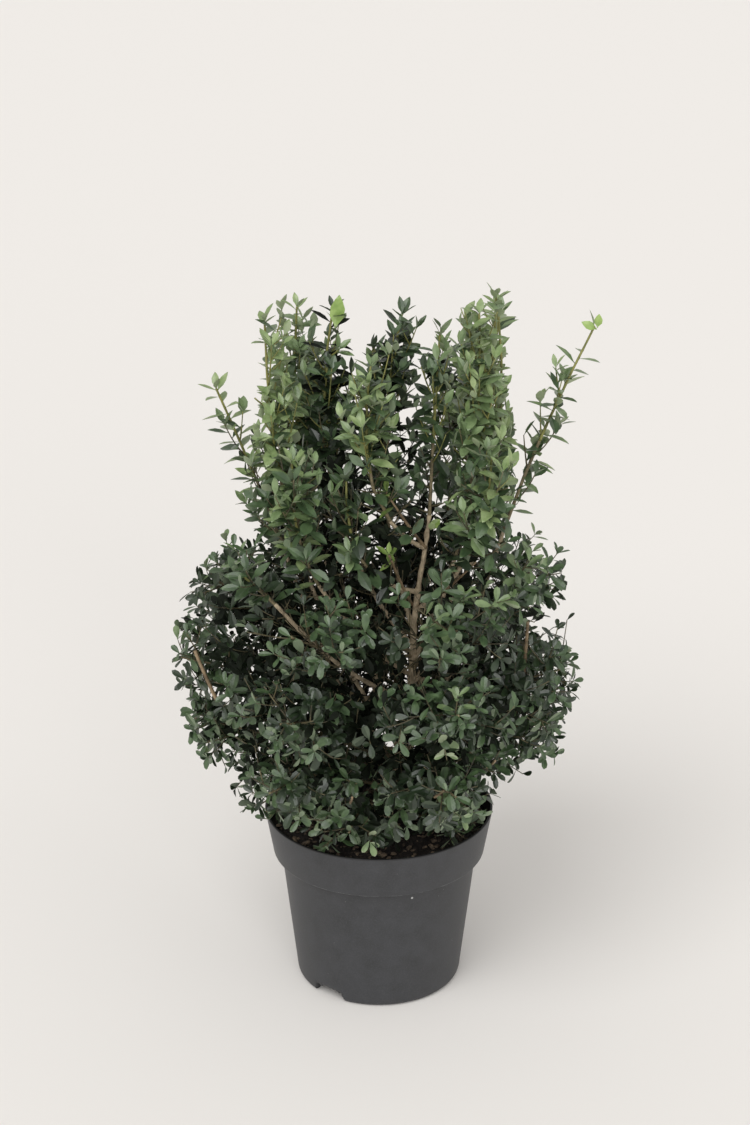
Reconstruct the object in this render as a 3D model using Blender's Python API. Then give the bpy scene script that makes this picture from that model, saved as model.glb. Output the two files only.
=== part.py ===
"""A young Japanese holly in a round plastic nursery pot.

Metres, +Z up. The origin is the middle of the pot's flat underside, and the front looks along +Y.
Each mass of foliage keeps to its own space: the points that lie nearer to its stem than to any
other stem, measured as a share of each stem's reach. Its twigs and leaves follow one rule of
branching, which a seed and the mass's number vary a little.
"""

import math
from typing import NamedTuple

import bmesh
import bpy
import numpy as np
from mathutils import Vector
from mathutils.bvhtree import BVHTree

MM = 0.001
GAP = 0.3 * MM
UP = np.array([0.0, 0.0, 1.0])
GOLDEN_TURN = math.radians(137.5)
GOLDEN_SHARE = 0.618

# Pot
POT_HEIGHT = 183 * MM
RIM_RADIUS = 112.5 * MM
LIP_WIDTH = 2.5 * MM
COLLAR_HEIGHT = 45 * MM
COLLAR_FOOT_RADIUS = 104.5 * MM
BODY_TOP_RADIUS = 97 * MM
FOOT_RADIUS = 81 * MM
FOOT_ROUNDING = 7 * MM
FOOT_LAND_WIDTH = 5 * MM
CHANNEL_HEIGHT = 13 * MM
CHANNEL_RADII = (50 * MM, 56 * MM, 68 * MM)
POT_WALL = 1.8 * MM
POT_SIDES = 36
ROUNDING_POINTS = 3
BODY_TOP = POT_HEIGHT - COLLAR_HEIGHT

# The bite out of the pot's foot: how high it reaches at each place along its width
NOTCH_WIDTH = 38 * MM
NOTCH_AZIMUTH = math.radians(270 - 38)
NOTCH_HEIGHTS = (0.0, 8 * MM, 10.5 * MM, 8 * MM, 9.5 * MM, 9 * MM, 7.5 * MM, 4 * MM, 0.0)
NOTCH_PLACES = (0.0, 0.08, 0.18, 0.29, 0.34, 0.53, 0.71, 0.87, 1.0)
NOTCH_DEPTH = 20 * MM

# Soil
SOIL_TOP = 165 * MM
SOIL_ROUGHNESS = 1.5 * MM
SOIL_FLAT_RADIUS = 14 * MM
SOIL_RINGS = (0.82, 0.48)

# Trunk: its line leans to the right and then rises
TRUNK_LINE = (
    (0.004, 0.000, SOIL_TOP + GAP),
    (0.018, -0.004, 0.220),
    (0.030, -0.011, 0.305),
    (0.034, -0.017, 0.395),
    (0.043, -0.021, 0.465),
    (0.047, -0.023, 0.500),
)
TRUNK_FOOT_RADIUS = 6.6 * MM
TRUNK_TIP_RADIUS = 2.7 * MM
FLARE = 3.2 * MM
FLARE_HEIGHT = 7 * MM
FLARE_LOBES = 5
TRUNK_SIDES = 10
TRUNK_RINGS = 12

# Boughs and the stems of the masses
BOUGH_RADII = (3.0 * MM, 2.1 * MM)
STEM_RADII = (2.0 * MM, 1.1 * MM)
BOUGH_SIDES = 5
STEM_SIDES = 3
LIMB_CORNERS = 5
SEAT_DEPTH = 5 * MM
CHORD_ALLOWANCE = 0.3 * MM
LIMB_CLEARANCE = 1.6 * MM
LIMB_SAMPLES = 80
START_SHIFTS = (0.0, 7 * MM, -7 * MM, 13 * MM, -13 * MM)
BOUGH_BEND = (0.55, 0.55, 0.35)
STEM_BEND = 0.4

# Twigs and leaves
SEED = 27
TWIG_RADII = (1.5 * MM, 1.1 * MM)
TWIG_SAMPLES = 7
TWIG_SPACING = 46 * MM
TWIG_LEAN = math.radians(52)
LEAF_LENGTH = 40 * MM
LEAF_WIDTH = 26 * MM
FULL_LEAF_REACH = 40 * MM
LEAST_TWIG_REACH = 32 * MM
LEAF_ROOT = 0.6 * MM
END_LEAF_SINK = 2 * MM
END_LEAF_FACING = np.array([0.2, -0.5, 0.84])
LEAF_DROOP = 4 * MM
LEAF_LEAN = math.radians(50)
LEAF_SPACING = 7 * MM
LEAF_CLEARANCE = 2 * MM
SPACE_MARGIN = 0.07
TURN_VARIATION = math.radians(12)
LEAN_VARIATION = math.radians(6)
LENGTH_VARIATION = 0.1
TWIG_SHARE = 0.62


class Shoot(NamedTuple):
    """An upper shoot: where its stem starts and its last leaf ends, and how far it spreads."""

    name: str
    foot: tuple
    tip: tuple
    reach: float
    trunk_height: float
    leaves: int


class Ring(NamedTuple):
    """Masses set evenly round the trunk: each stem bends at (radius, height) on its way to its tip.
    The ring rises to the right by its tilt."""

    name: str
    count: int
    phase: float
    bend: tuple
    tip: tuple
    tilt: float
    reach: float
    trunk_height: float
    leaves: int


SHOOTS = (
    Shoot("left_tower_front", (-0.066, -0.036, 0.440), (-0.104, -0.030, 0.710), 0.036, 0.250, 13),
    Shoot("left_tower_back", (-0.054, 0.042, 0.435), (-0.076, 0.058, 0.694), 0.036, 0.272, 11),
    Shoot("left_crest", (-0.024, -0.004, 0.452), (-0.040, -0.012, 0.7135), 0.033, 0.362, 12),
    Shoot("front_middle", (0.010, -0.050, 0.505), (-0.006, -0.060, 0.675), 0.033, 0.466, 11),
    Shoot("front_inner", (-0.004, -0.055, 0.452), (-0.030, -0.072, 0.570), 0.034, 0.420, 9),
    Shoot("middle", (0.012, 0.028, 0.445), (0.024, 0.028, 0.694), 0.034, 0.380, 12),
    Shoot("right_tower_front", (0.072, -0.018, 0.455), (0.090, -0.020, 0.712), 0.034, 0.345, 13),
    Shoot("right_tower_back", (0.084, 0.042, 0.445), (0.109, 0.052, 0.705), 0.035, 0.292, 11),
    Shoot("right_edge", (0.094, 0.004, 0.460), (0.108, 0.004, 0.702), 0.028, 0.318, 12),
    Shoot("right_spray", (0.118, 0.010, 0.470), (0.205, 0.020, 0.684), 0.030, 0.228, 12),
    Shoot("left_spray", (-0.090, 0.002, 0.455), (-0.156, 0.000, 0.630), 0.031, 0.212, 11),
    Shoot("back_left", (-0.050, 0.095, 0.440), (-0.062, 0.106, 0.625), 0.040, 0.240, 11),
    Shoot("back_right", (0.066, 0.100, 0.440), (0.080, 0.110, 0.635), 0.042, 0.260, 11),
    Shoot("front_left", (-0.056, -0.072, 0.450), (-0.078, -0.088, 0.592), 0.037, 0.330, 11),
    Shoot("front_right", (0.078, -0.050, 0.462), (0.102, -0.078, 0.592), 0.037, 0.400, 11),
    Shoot("front_shoulder", (-0.096, -0.092, 0.440), (-0.138, -0.106, 0.486), 0.038, 0.300, 7),
)
LEADER = Shoot("leader", TRUNK_LINE[-1], (0.056, -0.020, 0.692), 0.028, TRUNK_LINE[-1][2], 11)
RINGS = (
    Ring("shoulder", 6, math.radians(0), (0.090, 0.386), (0.164, 0.440), 0.08, 0.055, 0.345, 10),
    Ring("belly", 7, math.radians(-14), (0.100, 0.326), (0.200, 0.366), 0.0, 0.057, 0.290, 11),
    Ring("hem", 6, math.radians(-4), (0.095, 0.274), (0.188, 0.278), 0.05, 0.056, 0.235, 11),
    Ring("skirt", 5, math.radians(-32), (0.060, 0.226), (0.112, 0.198), 0.0, 0.044, 0.190, 10),
)
RING_MIDDLE = (-0.006, 0.0)
RING_STAGGER = 16 * MM


def unit(vectors):
    return vectors / np.linalg.norm(vectors, axis=-1, keepdims=True)


def evenly(line, count):
    """This many points at even distances along a line of straight stretches."""
    travelled = np.concatenate([[0.0], np.cumsum(np.linalg.norm(np.diff(line, axis=0), axis=1))])
    places = np.linspace(0, travelled[-1], count)
    return np.stack([np.interp(places, travelled, line[:, k]) for k in range(3)], 1)


def bend_line(start, bend, end, count):
    """A quadratic curve from start to end, drawn towards bend."""
    t = np.linspace(0, 1, count)[:, None]
    return (1 - t) ** 2 * start + 2 * t * (1 - t) * bend + t**2 * end


def smooth_line(points, count):
    """A curve through all the points, with the height as its parameter."""
    points = np.array(points, float)
    places = np.linspace(0, len(points) - 1, count)
    first = np.clip(places.astype(int), 0, len(points) - 2)
    t = (places - first)[:, None]
    slopes = np.gradient(points, axis=0)
    start, end = points[first], points[first + 1]
    return (
        (2 * t**3 - 3 * t**2 + 1) * start
        + (t**3 - 2 * t**2 + t) * slopes[first]
        + (3 * t**2 - 2 * t**3) * end
        + (t**3 - t**2) * slopes[first + 1]
    )


def frame_along(line):
    """The unit tangent, side and front of a line at each of its points."""
    along = unit(np.gradient(line, axis=0))
    middle = line[len(line) // 2]
    across = np.cross(middle - line[0], line[-1] - middle)
    if np.linalg.norm(across) < 1e-3 * np.linalg.norm(line[-1] - line[0]) ** 2:
        across = np.cross(along[0], (0.0, 1.0, 0.31))
    side = unit(np.cross(across, along))
    return along, side, np.cross(along, side)


def rings_along(line, radii, sides):
    """Points on a tube, by ring and by side."""
    _, side, front = frame_along(line)
    turn = np.arange(sides) * math.tau / sides
    circle = np.cos(turn)[None, :, None] * side[:, None] + np.sin(turn)[None, :, None] * front[:, None]
    return line[:, None] + np.broadcast_to(radii, len(line))[:, None, None] * circle


def trunk_line(count):
    return smooth_line(TRUNK_LINE, count)


def trunk_radii(line):
    """Radius at each point of the trunk: an even taper, and a flare that dies away above the soil."""
    height = line[:, 2] - line[0, 2]
    taper = TRUNK_FOOT_RADIUS + (TRUNK_TIP_RADIUS - TRUNK_FOOT_RADIUS) * height / height[-1]
    return taper + FLARE * np.exp(-height / FLARE_HEIGHT)


def trunk_rings(extra):
    """The trunk's rings, flat at the soil, with low lobes where the flare turns into roots."""
    share = np.linspace(0, 1, TRUNK_RINGS) ** 1.4
    fine = trunk_line(200)
    line = np.stack([np.interp(share, np.linspace(0, 1, 200), fine[:, k]) for k in range(3)], 1)
    turn = np.arange(TRUNK_SIDES) * math.tau / TRUNK_SIDES
    flare = np.exp(-(line[:, 2] - line[0, 2]) / FLARE_HEIGHT)[:, None]
    lobes = 1 + 0.12 * flare * np.cos(FLARE_LOBES * turn)[None]
    radii = trunk_radii(line)[:, None] * lobes + extra
    circle = np.stack([np.cos(turn), np.sin(turn), np.zeros(TRUNK_SIDES)], 1)
    return line[:, None] + radii[..., None] * circle[None]


def trunk_starts(height):
    """Places on the trunk's middle line, at this height and a little above and below it."""
    line = trunk_line(200)
    heights = [height + shift for shift in START_SHIFTS]
    return [np.array([np.interp(level, line[:, 2], line[:, k]) for k in range(3)]) for level in heights]


def above_bark(points):
    """How far each point lies outside the trunk."""
    trunk = trunk_line(4 * LIMB_SAMPLES)
    return (np.linalg.norm(points[:, None] - trunk[None], axis=2) - trunk_radii(trunk)[None]).min(axis=1)


class Limb:
    """A tapering limb with straight stretches between its corners. One that starts on the trunk's
    middle line has its second corner out in the open. Another starts flat against the end of the
    limb that carries it, which runs along carrier. The line holds points all along it."""

    def __init__(self, name, line, radii, carrier=None):
        self.name = name
        self.carrier = carrier
        self.on_trunk = carrier is None
        if self.on_trunk:
            in_the_open = line[above_bark(line) > SEAT_DEPTH]
            self.corners = np.concatenate([line[:1], evenly(in_the_open, LIMB_CORNERS - 1)])
        else:
            self.corners = evenly(line, LIMB_CORNERS)
        self.line = evenly(self.corners, LIMB_SAMPLES)
        self.radii = np.linspace(*radii, LIMB_SAMPLES)
        self.is_open = above_bark(self.line) > 0

    def rings(self, sides):
        rings = rings_along(self.corners, np.linspace(self.radii[0], self.radii[-1], LIMB_CORNERS), sides)
        if self.carrier is not None:
            along = unit(self.corners[1] - self.corners[0])
            slant = (rings[0] - self.corners[0]) @ self.carrier / (along @ self.carrier)
            rings[0] -= slant[:, None] * along
        return rings


def clearance(limb, others):
    """The least gap between a limb and the others, where they are in the open."""
    gaps = [1.0]
    for other in others:
        apart = np.linalg.norm(limb.line[limb.is_open][:, None] - other.line[other.is_open][None], axis=2)
        gaps.append((apart - limb.radii[limb.is_open][:, None] - other.radii[other.is_open][None]).min())
    return min(gaps)


def routed(name, starts, bend, end, radii, laid, carrier=None):
    """A limb that starts and bends where it misses the limbs laid before it, as near as it can to its course."""
    best = None
    along = unit(end - starts[0])
    side = unit(np.cross(along, UP))
    rise = np.cross(side, along)
    for trial in range(37):
        turn = trial * math.tau / 6
        push = 7 * MM * ((trial + 5) // 6)
        shifted = bend + push * (math.cos(turn) * side + math.sin(turn) * rise)
        for start in starts:
            limb = Limb(name, bend_line(start, shifted, end, LIMB_SAMPLES), radii, carrier)
            room = clearance(limb, laid)
            if best is None or room > best[0]:
                best = (room, limb)
            if room > LIMB_CLEARANCE:
                return limb
    return best[1]


class Mass:
    """A mass of foliage: the line from its foot to its last leaf's tip, its stem and its space."""

    def __init__(self, limb, reach, leaves):
        self.name = limb.name
        self.line = limb.line
        self.reach = reach
        self.leaves = leaves
        share = np.linspace(0, 1, LIMB_SAMPLES)
        widening = np.clip(share / 0.45, 0, 1)
        foot_share = 0.4 if limb.on_trunk else 0.8
        self.bare_share = 0.42 if limb.on_trunk else 0.1
        self.reaches = reach * (foot_share + (1 - foot_share) * widening * (2 - widening)) * (1 - 0.25 * share**3)
        self.length = np.linalg.norm(np.diff(self.line, axis=0), axis=1).sum()
        self.leaf_size = min(1.0, reach / FULL_LEAF_REACH)
        last_leaf = 0.95 * self.leaf_size * LEAF_LENGTH / self.length
        kept = self.line[share <= 1 - last_leaf]
        self.stem = Limb(self.name, kept, (limb.radii[0], limb.radii[-1]), limb.carrier)

    def shares(self, points):
        """How far each point lies from the stem's line, as a share of the reach there."""
        gaps = np.linalg.norm(points[:, None] - self.line[None], axis=2)
        return (gaps / self.reaches[None]).min(axis=1)


def make_limbs():
    """The boughs and the masses, each laid clear of those before it."""
    boughs, masses = [], []
    laid = []
    leader_line = bend_line(
        np.array(LEADER.foot) + (0, 0, GAP),
        np.array(LEADER.foot) + (0.003, 0, 0.09),
        np.array(LEADER.tip),
        LIMB_SAMPLES,
    )
    leader = Mass(Limb(LEADER.name, leader_line, STEM_RADII, UP), LEADER.reach, LEADER.leaves)
    masses.append(leader)
    laid.append(leader.stem)
    for shoot in SHOOTS:
        foot, tip = np.array(shoot.foot), np.array(shoot.tip)
        starts = trunk_starts(shoot.trunk_height)
        bend = starts[0] + (foot - starts[0]) * BOUGH_BEND
        bough = routed("bough_" + shoot.name, starts, bend, foot, BOUGH_RADII, laid)
        heading = unit(bough.line[-1] - bough.line[-2])
        stem_start = foot + heading * GAP
        stem_bend = foot + heading * STEM_BEND * np.linalg.norm(tip - foot)
        stem = routed(shoot.name, [stem_start], stem_bend, tip, STEM_RADII, laid, heading)
        mass = Mass(stem, shoot.reach, shoot.leaves)
        boughs.append(bough)
        masses.append(mass)
        laid += [bough, mass.stem]
    for ring in RINGS:
        for k in range(ring.count):
            azimuth = ring.phase + k * math.tau / ring.count
            outward = np.array([math.cos(azimuth), math.sin(azimuth), 0.0])
            middle = np.array([*RING_MIDDLE, 0.0])
            stagger = RING_STAGGER * ((k * GOLDEN_SHARE) % 1 - 0.5)
            lift = stagger + ring.tilt * ring.tip[0] * outward[0]
            starts = trunk_starts(ring.trunk_height + 2 * stagger)
            bend = middle + outward * ring.bend[0] + UP * (ring.bend[1] + lift)
            tip = middle + outward * ring.tip[0] + UP * (ring.tip[1] + lift)
            stem = routed(f"{ring.name}_{k + 1}", starts, bend, tip, STEM_RADII, laid)
            mass = Mass(stem, ring.reach, ring.leaves)
            masses.append(mass)
            laid.append(mass.stem)
    return boughs, masses


class Room:
    """Tells whether a set of points keeps to one mass's own space."""

    def __init__(self, boughs, masses):
        self.masses = masses
        limbs = boughs + [mass.stem for mass in masses]
        trunk = trunk_line(LIMB_SAMPLES)
        self.points = np.concatenate([limb.line for limb in limbs] + [trunk])
        self.radii = np.concatenate([limb.radii for limb in limbs] + [trunk_radii(trunk)])
        self.owners = np.array([limb.name for limb in limbs for _ in limb.line] + ["trunk"] * len(trunk))

    def clear_of_pot(self, points):
        around = np.hypot(points[:, 0], points[:, 1])
        over_rim = np.abs(around - RIM_RADIUS) < 7 * MM
        floor = np.where(over_rim, POT_HEIGHT + 2 * MM, SOIL_TOP + 4 * MM)
        outside = around > RIM_RADIUS + 7 * MM
        return bool((outside | (points[:, 2] > floor)).all())

    def clear_of_limbs(self, mass, points):
        others = self.owners != mass.name
        gaps = np.linalg.norm(points[:, None] - self.points[others][None], axis=2)
        return bool((gaps - self.radii[others][None]).min() > LEAF_CLEARANCE)

    def holds(self, mass, points):
        own = mass.shares(points)
        if own.max() > 1 or not self.clear_of_pot(points):
            return False
        for other in self.masses:
            if other is not mass and (other.shares(points) - own).min() < SPACE_MARGIN:
                return False
        return self.clear_of_limbs(mass, points)


def leaf_points(base, heading, facing, size):
    """A leaf's six corners: three at its root, its two sides and its drooping tip."""
    side = np.cross(heading, facing)
    half = size * LEAF_WIDTH / 2
    root = [
        base + facing * LEAF_ROOT,
        base - side * LEAF_ROOT - facing * LEAF_ROOT / 2,
        base + side * LEAF_ROOT - facing * LEAF_ROOT / 2,
    ]
    widest = base + size * (heading * 0.55 * LEAF_LENGTH + facing * LEAF_DROOP / 4)
    tip = base + size * (heading * LEAF_LENGTH - facing * LEAF_DROOP * 3 / 4)
    return np.array([*root, widest - side * half, widest + side * half, tip])


LEAF_FACES = ((0, 2, 1), (0, 1, 3), (0, 4, 2), (0, 3, 4), (3, 5, 4), (1, 5, 3), (2, 4, 5), (1, 2, 5))


def leaf_cover(corners):
    """Points spread over a leaf, from its root to its tip."""
    root, left, right, tip = corners[0], corners[3], corners[4], corners[5]
    cover = [corners]
    for share in (0.2, 0.4, 0.6, 0.8, 1.0):
        cover.append(root + (np.linspace(left, right, 5) - root) * share)
        cover.append(tip + (np.linspace(left, right, 5) - tip) * share)
    return np.concatenate(cover)


def twig_lines(mass, room, dice):
    """Twigs round the stem by the golden turn, each one turned a little up. A slim spray has none."""
    along, side, front = frame_along(mass.stem.line)
    count = max(3, round(mass.length / TWIG_SPACING)) if mass.reach > LEAST_TWIG_REACH else 0
    twigs = []
    for k in range(count):
        share = mass.bare_share + (0.94 - mass.bare_share) * (k + 0.5) / count
        place = int(share * (len(mass.stem.line) - 1))
        start = mass.stem.line[place]
        first_turn = k * GOLDEN_TURN + TURN_VARIATION * dice.uniform(-1, 1)
        lean = TWIG_LEAN + LEAN_VARIATION * dice.uniform(-1, 1)
        reach = np.interp(share, np.linspace(0, 1, len(mass.reaches)), mass.reaches)
        length = TWIG_SHARE * reach * (1 + LENGTH_VARIATION * dice.uniform(-1, 1))
        for nudge in range(4):
            turn = first_turn + nudge * math.tau / 9
            out = math.cos(turn) * side[place] + math.sin(turn) * front[place]
            heading = math.cos(lean) * along[place] + math.sin(lean) * out
            line = evenly(np.array([start, start + length * unit(heading + 0.2 * UP)]), TWIG_SAMPLES)
            if room.holds(mass, line[2:]):
                twigs.append(line)
                break
    return twigs


class Site(NamedTuple):
    """A place where a leaf may grow, on the stem (limb 0) or a twig, and the ways that it points and faces."""

    limb: int
    at_end: bool
    base: np.ndarray
    heading: np.ndarray
    facing: np.ndarray


def leaf_sites(mass, twigs, dice):
    """A site at the end of the stem and of each twig, and others all along them."""
    sites = []
    for number, line in enumerate([mass.stem.line, *twigs]):
        along, side, front = frame_along(line)
        facing = unit(END_LEAF_FACING - along[-1] * (along[-1] @ END_LEAF_FACING))
        sites.append(Site(number, True, line[-1] - END_LEAF_SINK * along[-1], along[-1], facing))
        length = np.linalg.norm(np.diff(line, axis=0), axis=1).sum()
        first = mass.bare_share if number == 0 else 0.4
        count = int(length * (1 - first) / LEAF_SPACING)
        for k in range(count):
            place = int((first + (1 - first) * k / count) * (len(line) - 1))
            turn = k * GOLDEN_TURN + number + TURN_VARIATION * dice.uniform(-1, 1)
            lean = LEAF_LEAN + LEAN_VARIATION * dice.uniform(-1, 1)
            out = math.cos(turn) * side[place] + math.sin(turn) * front[place]
            heading = math.cos(lean) * along[place] + math.sin(lean) * out
            facing = math.sin(lean) * along[place] - math.cos(lean) * out
            sites.append(Site(number, False, line[place], heading, facing))
    return sites


def grow_leaves(mass, twigs, room, dice):
    """The leaves that fit: every end leaf, then the rest by even strides until the mass has its share.
    A leaf is skipped where it would cross a leaf or a twig other than its own."""
    limbs = [tube_tree(rings_along(mass.stem.corners, STEM_RADII[0], STEM_SIDES))]
    limbs += [tube_tree(rings_along(line[[0, -1]], TWIG_RADII, 3)) for line in twigs]
    sites = leaf_sites(mass, twigs, dice)
    ends = [site for site in sites if site.at_end]
    rest = [site for site in sites if not site.at_end]
    order = sorted(range(len(rest)), key=lambda k: (k * GOLDEN_SHARE) % 1)
    leaves, taken = [], []
    for site in ends + [rest[k] for k in order]:
        if len(leaves) == mass.leaves:
            break
        corners = leaf_points(site.base, site.heading, site.facing, mass.leaf_size)
        tree = BVHTree.FromPolygons([tuple(corner) for corner in corners], LEAF_FACES)
        others = taken + [limb for number, limb in enumerate(limbs) if number != site.limb]
        if not any(tree.overlap(other) for other in others) and room.holds(mass, leaf_cover(corners)):
            leaves.append(corners)
            taken.append(tree)
    return leaves


def mesh_of(name, points, faces):
    """A mesh with its faces turned outwards."""
    mesh = bpy.data.meshes.new(name)
    mesh.from_pydata([tuple(point) for point in points], [], [tuple(face) for face in faces])
    shape = bmesh.new()
    shape.from_mesh(mesh)
    bmesh.ops.recalc_face_normals(shape, faces=shape.faces)
    shape.to_mesh(mesh)
    shape.free()
    return mesh


def tube_walls(rings):
    """The corner points and the side faces of a tube over its rings."""
    count, sides = rings.shape[:2]
    faces = []
    for ring in range(count - 1):
        for k in range(sides):
            low, after = ring * sides, (k + 1) % sides
            faces.append((low + k, low + after, low + sides + after, low + sides + k))
    return [tuple(point) for point in rings.reshape(-1, 3)], faces


def tube_tree(rings):
    return BVHTree.FromPolygons(*tube_walls(rings))


def tube_mesh(name, rings, foot_middle=None):
    """A closed tube over its rings, with a fan on its foot where foot_middle is given."""
    count, sides = rings.shape[:2]
    points, faces = tube_walls(rings)
    faces.append(tuple(range((count - 1) * sides, count * sides)))
    if foot_middle is None:
        faces.append(tuple(reversed(range(sides))))
    else:
        points.append(foot_middle)
        faces += [(len(points) - 1, (k + 1) % sides, k) for k in range(sides)]
    return mesh_of(name, points, faces)


def add_object(name, mesh, material):
    mesh.materials.append(material)
    obj = bpy.data.objects.new(name, mesh)
    bpy.context.scene.collection.objects.link(obj)
    return obj


def seated_rings(limb, sides, trunk_shell):
    """A limb's rings, and the middle of its foot where that follows the trunk's bark at the gap's distance."""
    rings = limb.rings(sides)
    if not limb.on_trunk:
        return rings, None
    heading = Vector(unit(limb.corners[1] - limb.corners[0]))
    middle = seat(Vector(limb.corners[1]), heading, trunk_shell)
    foot = [seat(Vector(point), heading, trunk_shell, middle) for point in rings[1]]
    return np.concatenate([np.array([foot]), rings[1:]]), np.array(middle)


def seat(point, heading, trunk_shell, fallback=None):
    """Where a straight line from the point back along the heading meets the trunk's shell."""
    hit = trunk_shell.ray_cast(point, -heading)[0]
    return hit if hit is not None else fallback


def drop_scraps(mesh):
    """Keeps only the largest closed shell, so that a sealed hollow is filled and a loose scrap goes."""
    shape = bmesh.new()
    shape.from_mesh(mesh)
    bmesh.ops.triangulate(shape, faces=shape.faces)
    unseen = set(shape.faces)
    shells = []
    while unseen:
        waiting = [unseen.pop()]
        shell = []
        while waiting:
            face = waiting.pop()
            shell.append(face)
            beside = {other for edge in face.edges for other in edge.link_faces} & unseen
            unseen -= beside
            waiting += beside
        shells.append(shell)
    shells.sort(key=len)
    bmesh.ops.delete(shape, geom=[face for shell in shells[:-1] for face in shell], context="FACES")
    shape.to_mesh(mesh)
    shape.free()


def join_mass(mass, twigs, leaves, stem, material):
    """One solid from a stem, its twigs and its leaves."""
    parts = bpy.data.collections.new(mass.name + "_parts")
    bpy.context.scene.collection.children.link(parts)
    for number, line in enumerate(twigs):
        mesh = tube_mesh(f"twig_{number}", rings_along(line[[0, -1]], TWIG_RADII, 3))
        parts.objects.link(bpy.data.objects.new(mesh.name, mesh))
    for number, corners in enumerate(leaves):
        mesh = mesh_of(f"leaf_{number}", corners, LEAF_FACES)
        parts.objects.link(bpy.data.objects.new(mesh.name, mesh))
    body = add_object(mass.name, stem, material)
    union = body.modifiers.new("Union", "BOOLEAN")
    union.operation = "UNION"
    union.operand_type = "COLLECTION"
    union.collection = parts
    with bpy.context.temp_override(object=body, active_object=body, selected_objects=[body]):
        bpy.ops.object.modifier_apply(modifier=union.name)
    for obj in list(parts.objects):
        mesh = obj.data
        bpy.data.objects.remove(obj)
        bpy.data.meshes.remove(mesh)
    bpy.data.collections.remove(parts)
    drop_scraps(body.data)


def rounded(corners):
    """An outline with each (radius, height, rounding) corner turned into a short arc."""
    outline = []
    for k, (radius, height, rounding) in enumerate(corners):
        here = Vector((radius, height))
        if not rounding:
            outline.append(tuple(here))
            continue
        before = (Vector(corners[k - 1][:2]) - here).normalized()
        after = (Vector(corners[k + 1][:2]) - here).normalized()
        half = before.angle(after) / 2
        reach = rounding / math.tan(half)
        start, end = here + before * reach, here + after * reach
        for t in np.linspace(0, 1, ROUNDING_POINTS):
            outline.append(tuple((1 - t) ** 2 * start + 2 * t * (1 - t) * here + t**2 * end))
    return outline


def wall_radius(height):
    """The outside radius of the pot's body at this height."""
    return FOOT_RADIUS + (BODY_TOP_RADIUS - FOOT_RADIUS) * height / BODY_TOP


def inside_corners(gap):
    """The pot's inside from the middle of its floor to the foot of its collar, moved inwards by gap."""
    low, high = POT_WALL + gap, CHANNEL_HEIGHT + POT_WALL + gap
    ledge = BODY_TOP + POT_WALL + gap
    boss, channel, _ = CHANNEL_RADII
    return [
        (0.0, low, 0.0),
        (boss - POT_WALL - gap, low, 0.0),
        (channel - POT_WALL - gap, high, 0.0),
        (wall_radius(high) - POT_WALL - gap, high, 0.0),
        (BODY_TOP_RADIUS - POT_WALL - gap, ledge, 0.0),
        (COLLAR_FOOT_RADIUS - POT_WALL - gap, ledge, 0.0),
    ]


def collar_inside(height):
    """The inside radius of the collar at this height."""
    low, high = COLLAR_FOOT_RADIUS - POT_WALL, RIM_RADIUS - LIP_WIDTH
    share = (height - BODY_TOP - POT_WALL) / (COLLAR_HEIGHT - POT_WALL)
    return low + (high - low) * share


def lathe(name, outline, sides):
    """A solid of revolution from a half outline that starts and ends on the axis."""
    shape = bmesh.new()
    points = [shape.verts.new((radius, 0.0, height)) for radius, height in outline]
    edges = [shape.edges.new(pair) for pair in zip(points, points[1:])]
    bmesh.ops.spin(
        shape, geom=points + edges, cent=(0, 0, 0), axis=(0, 0, 1), steps=sides, angle=math.tau, use_merge=True
    )
    bmesh.ops.remove_doubles(shape, verts=shape.verts, dist=0.01 * MM)
    bmesh.ops.recalc_face_normals(shape, faces=shape.faces)
    mesh = bpy.data.meshes.new(name)
    shape.to_mesh(mesh)
    shape.free()
    return mesh


def notch_cutter():
    """A block through the foot's wall, whose top is the bite's uneven edge."""
    outward = np.array([math.cos(NOTCH_AZIMUTH), math.sin(NOTCH_AZIMUTH), 0.0])
    across = np.array([-outward[1], outward[0], 0.0])
    places = (np.array(NOTCH_PLACES)[:, None] - 0.5) * NOTCH_WIDTH * across
    top = places + np.array(NOTCH_HEIGHTS)[:, None] * UP
    bottom = places - 2 * MM * UP
    outline = np.concatenate([top, bottom[::-1]])
    near = outline + outward * (FOOT_RADIUS - NOTCH_DEPTH)
    far = outline + outward * (FOOT_RADIUS + NOTCH_DEPTH / 2)
    count = len(outline)
    faces = [tuple(range(count)), tuple(reversed(range(count, 2 * count)))]
    faces += [(k, count + k, count + (k + 1) % count, (k + 1) % count) for k in range(count)]
    return mesh_of("notch", np.concatenate([near, far]), faces)


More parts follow.
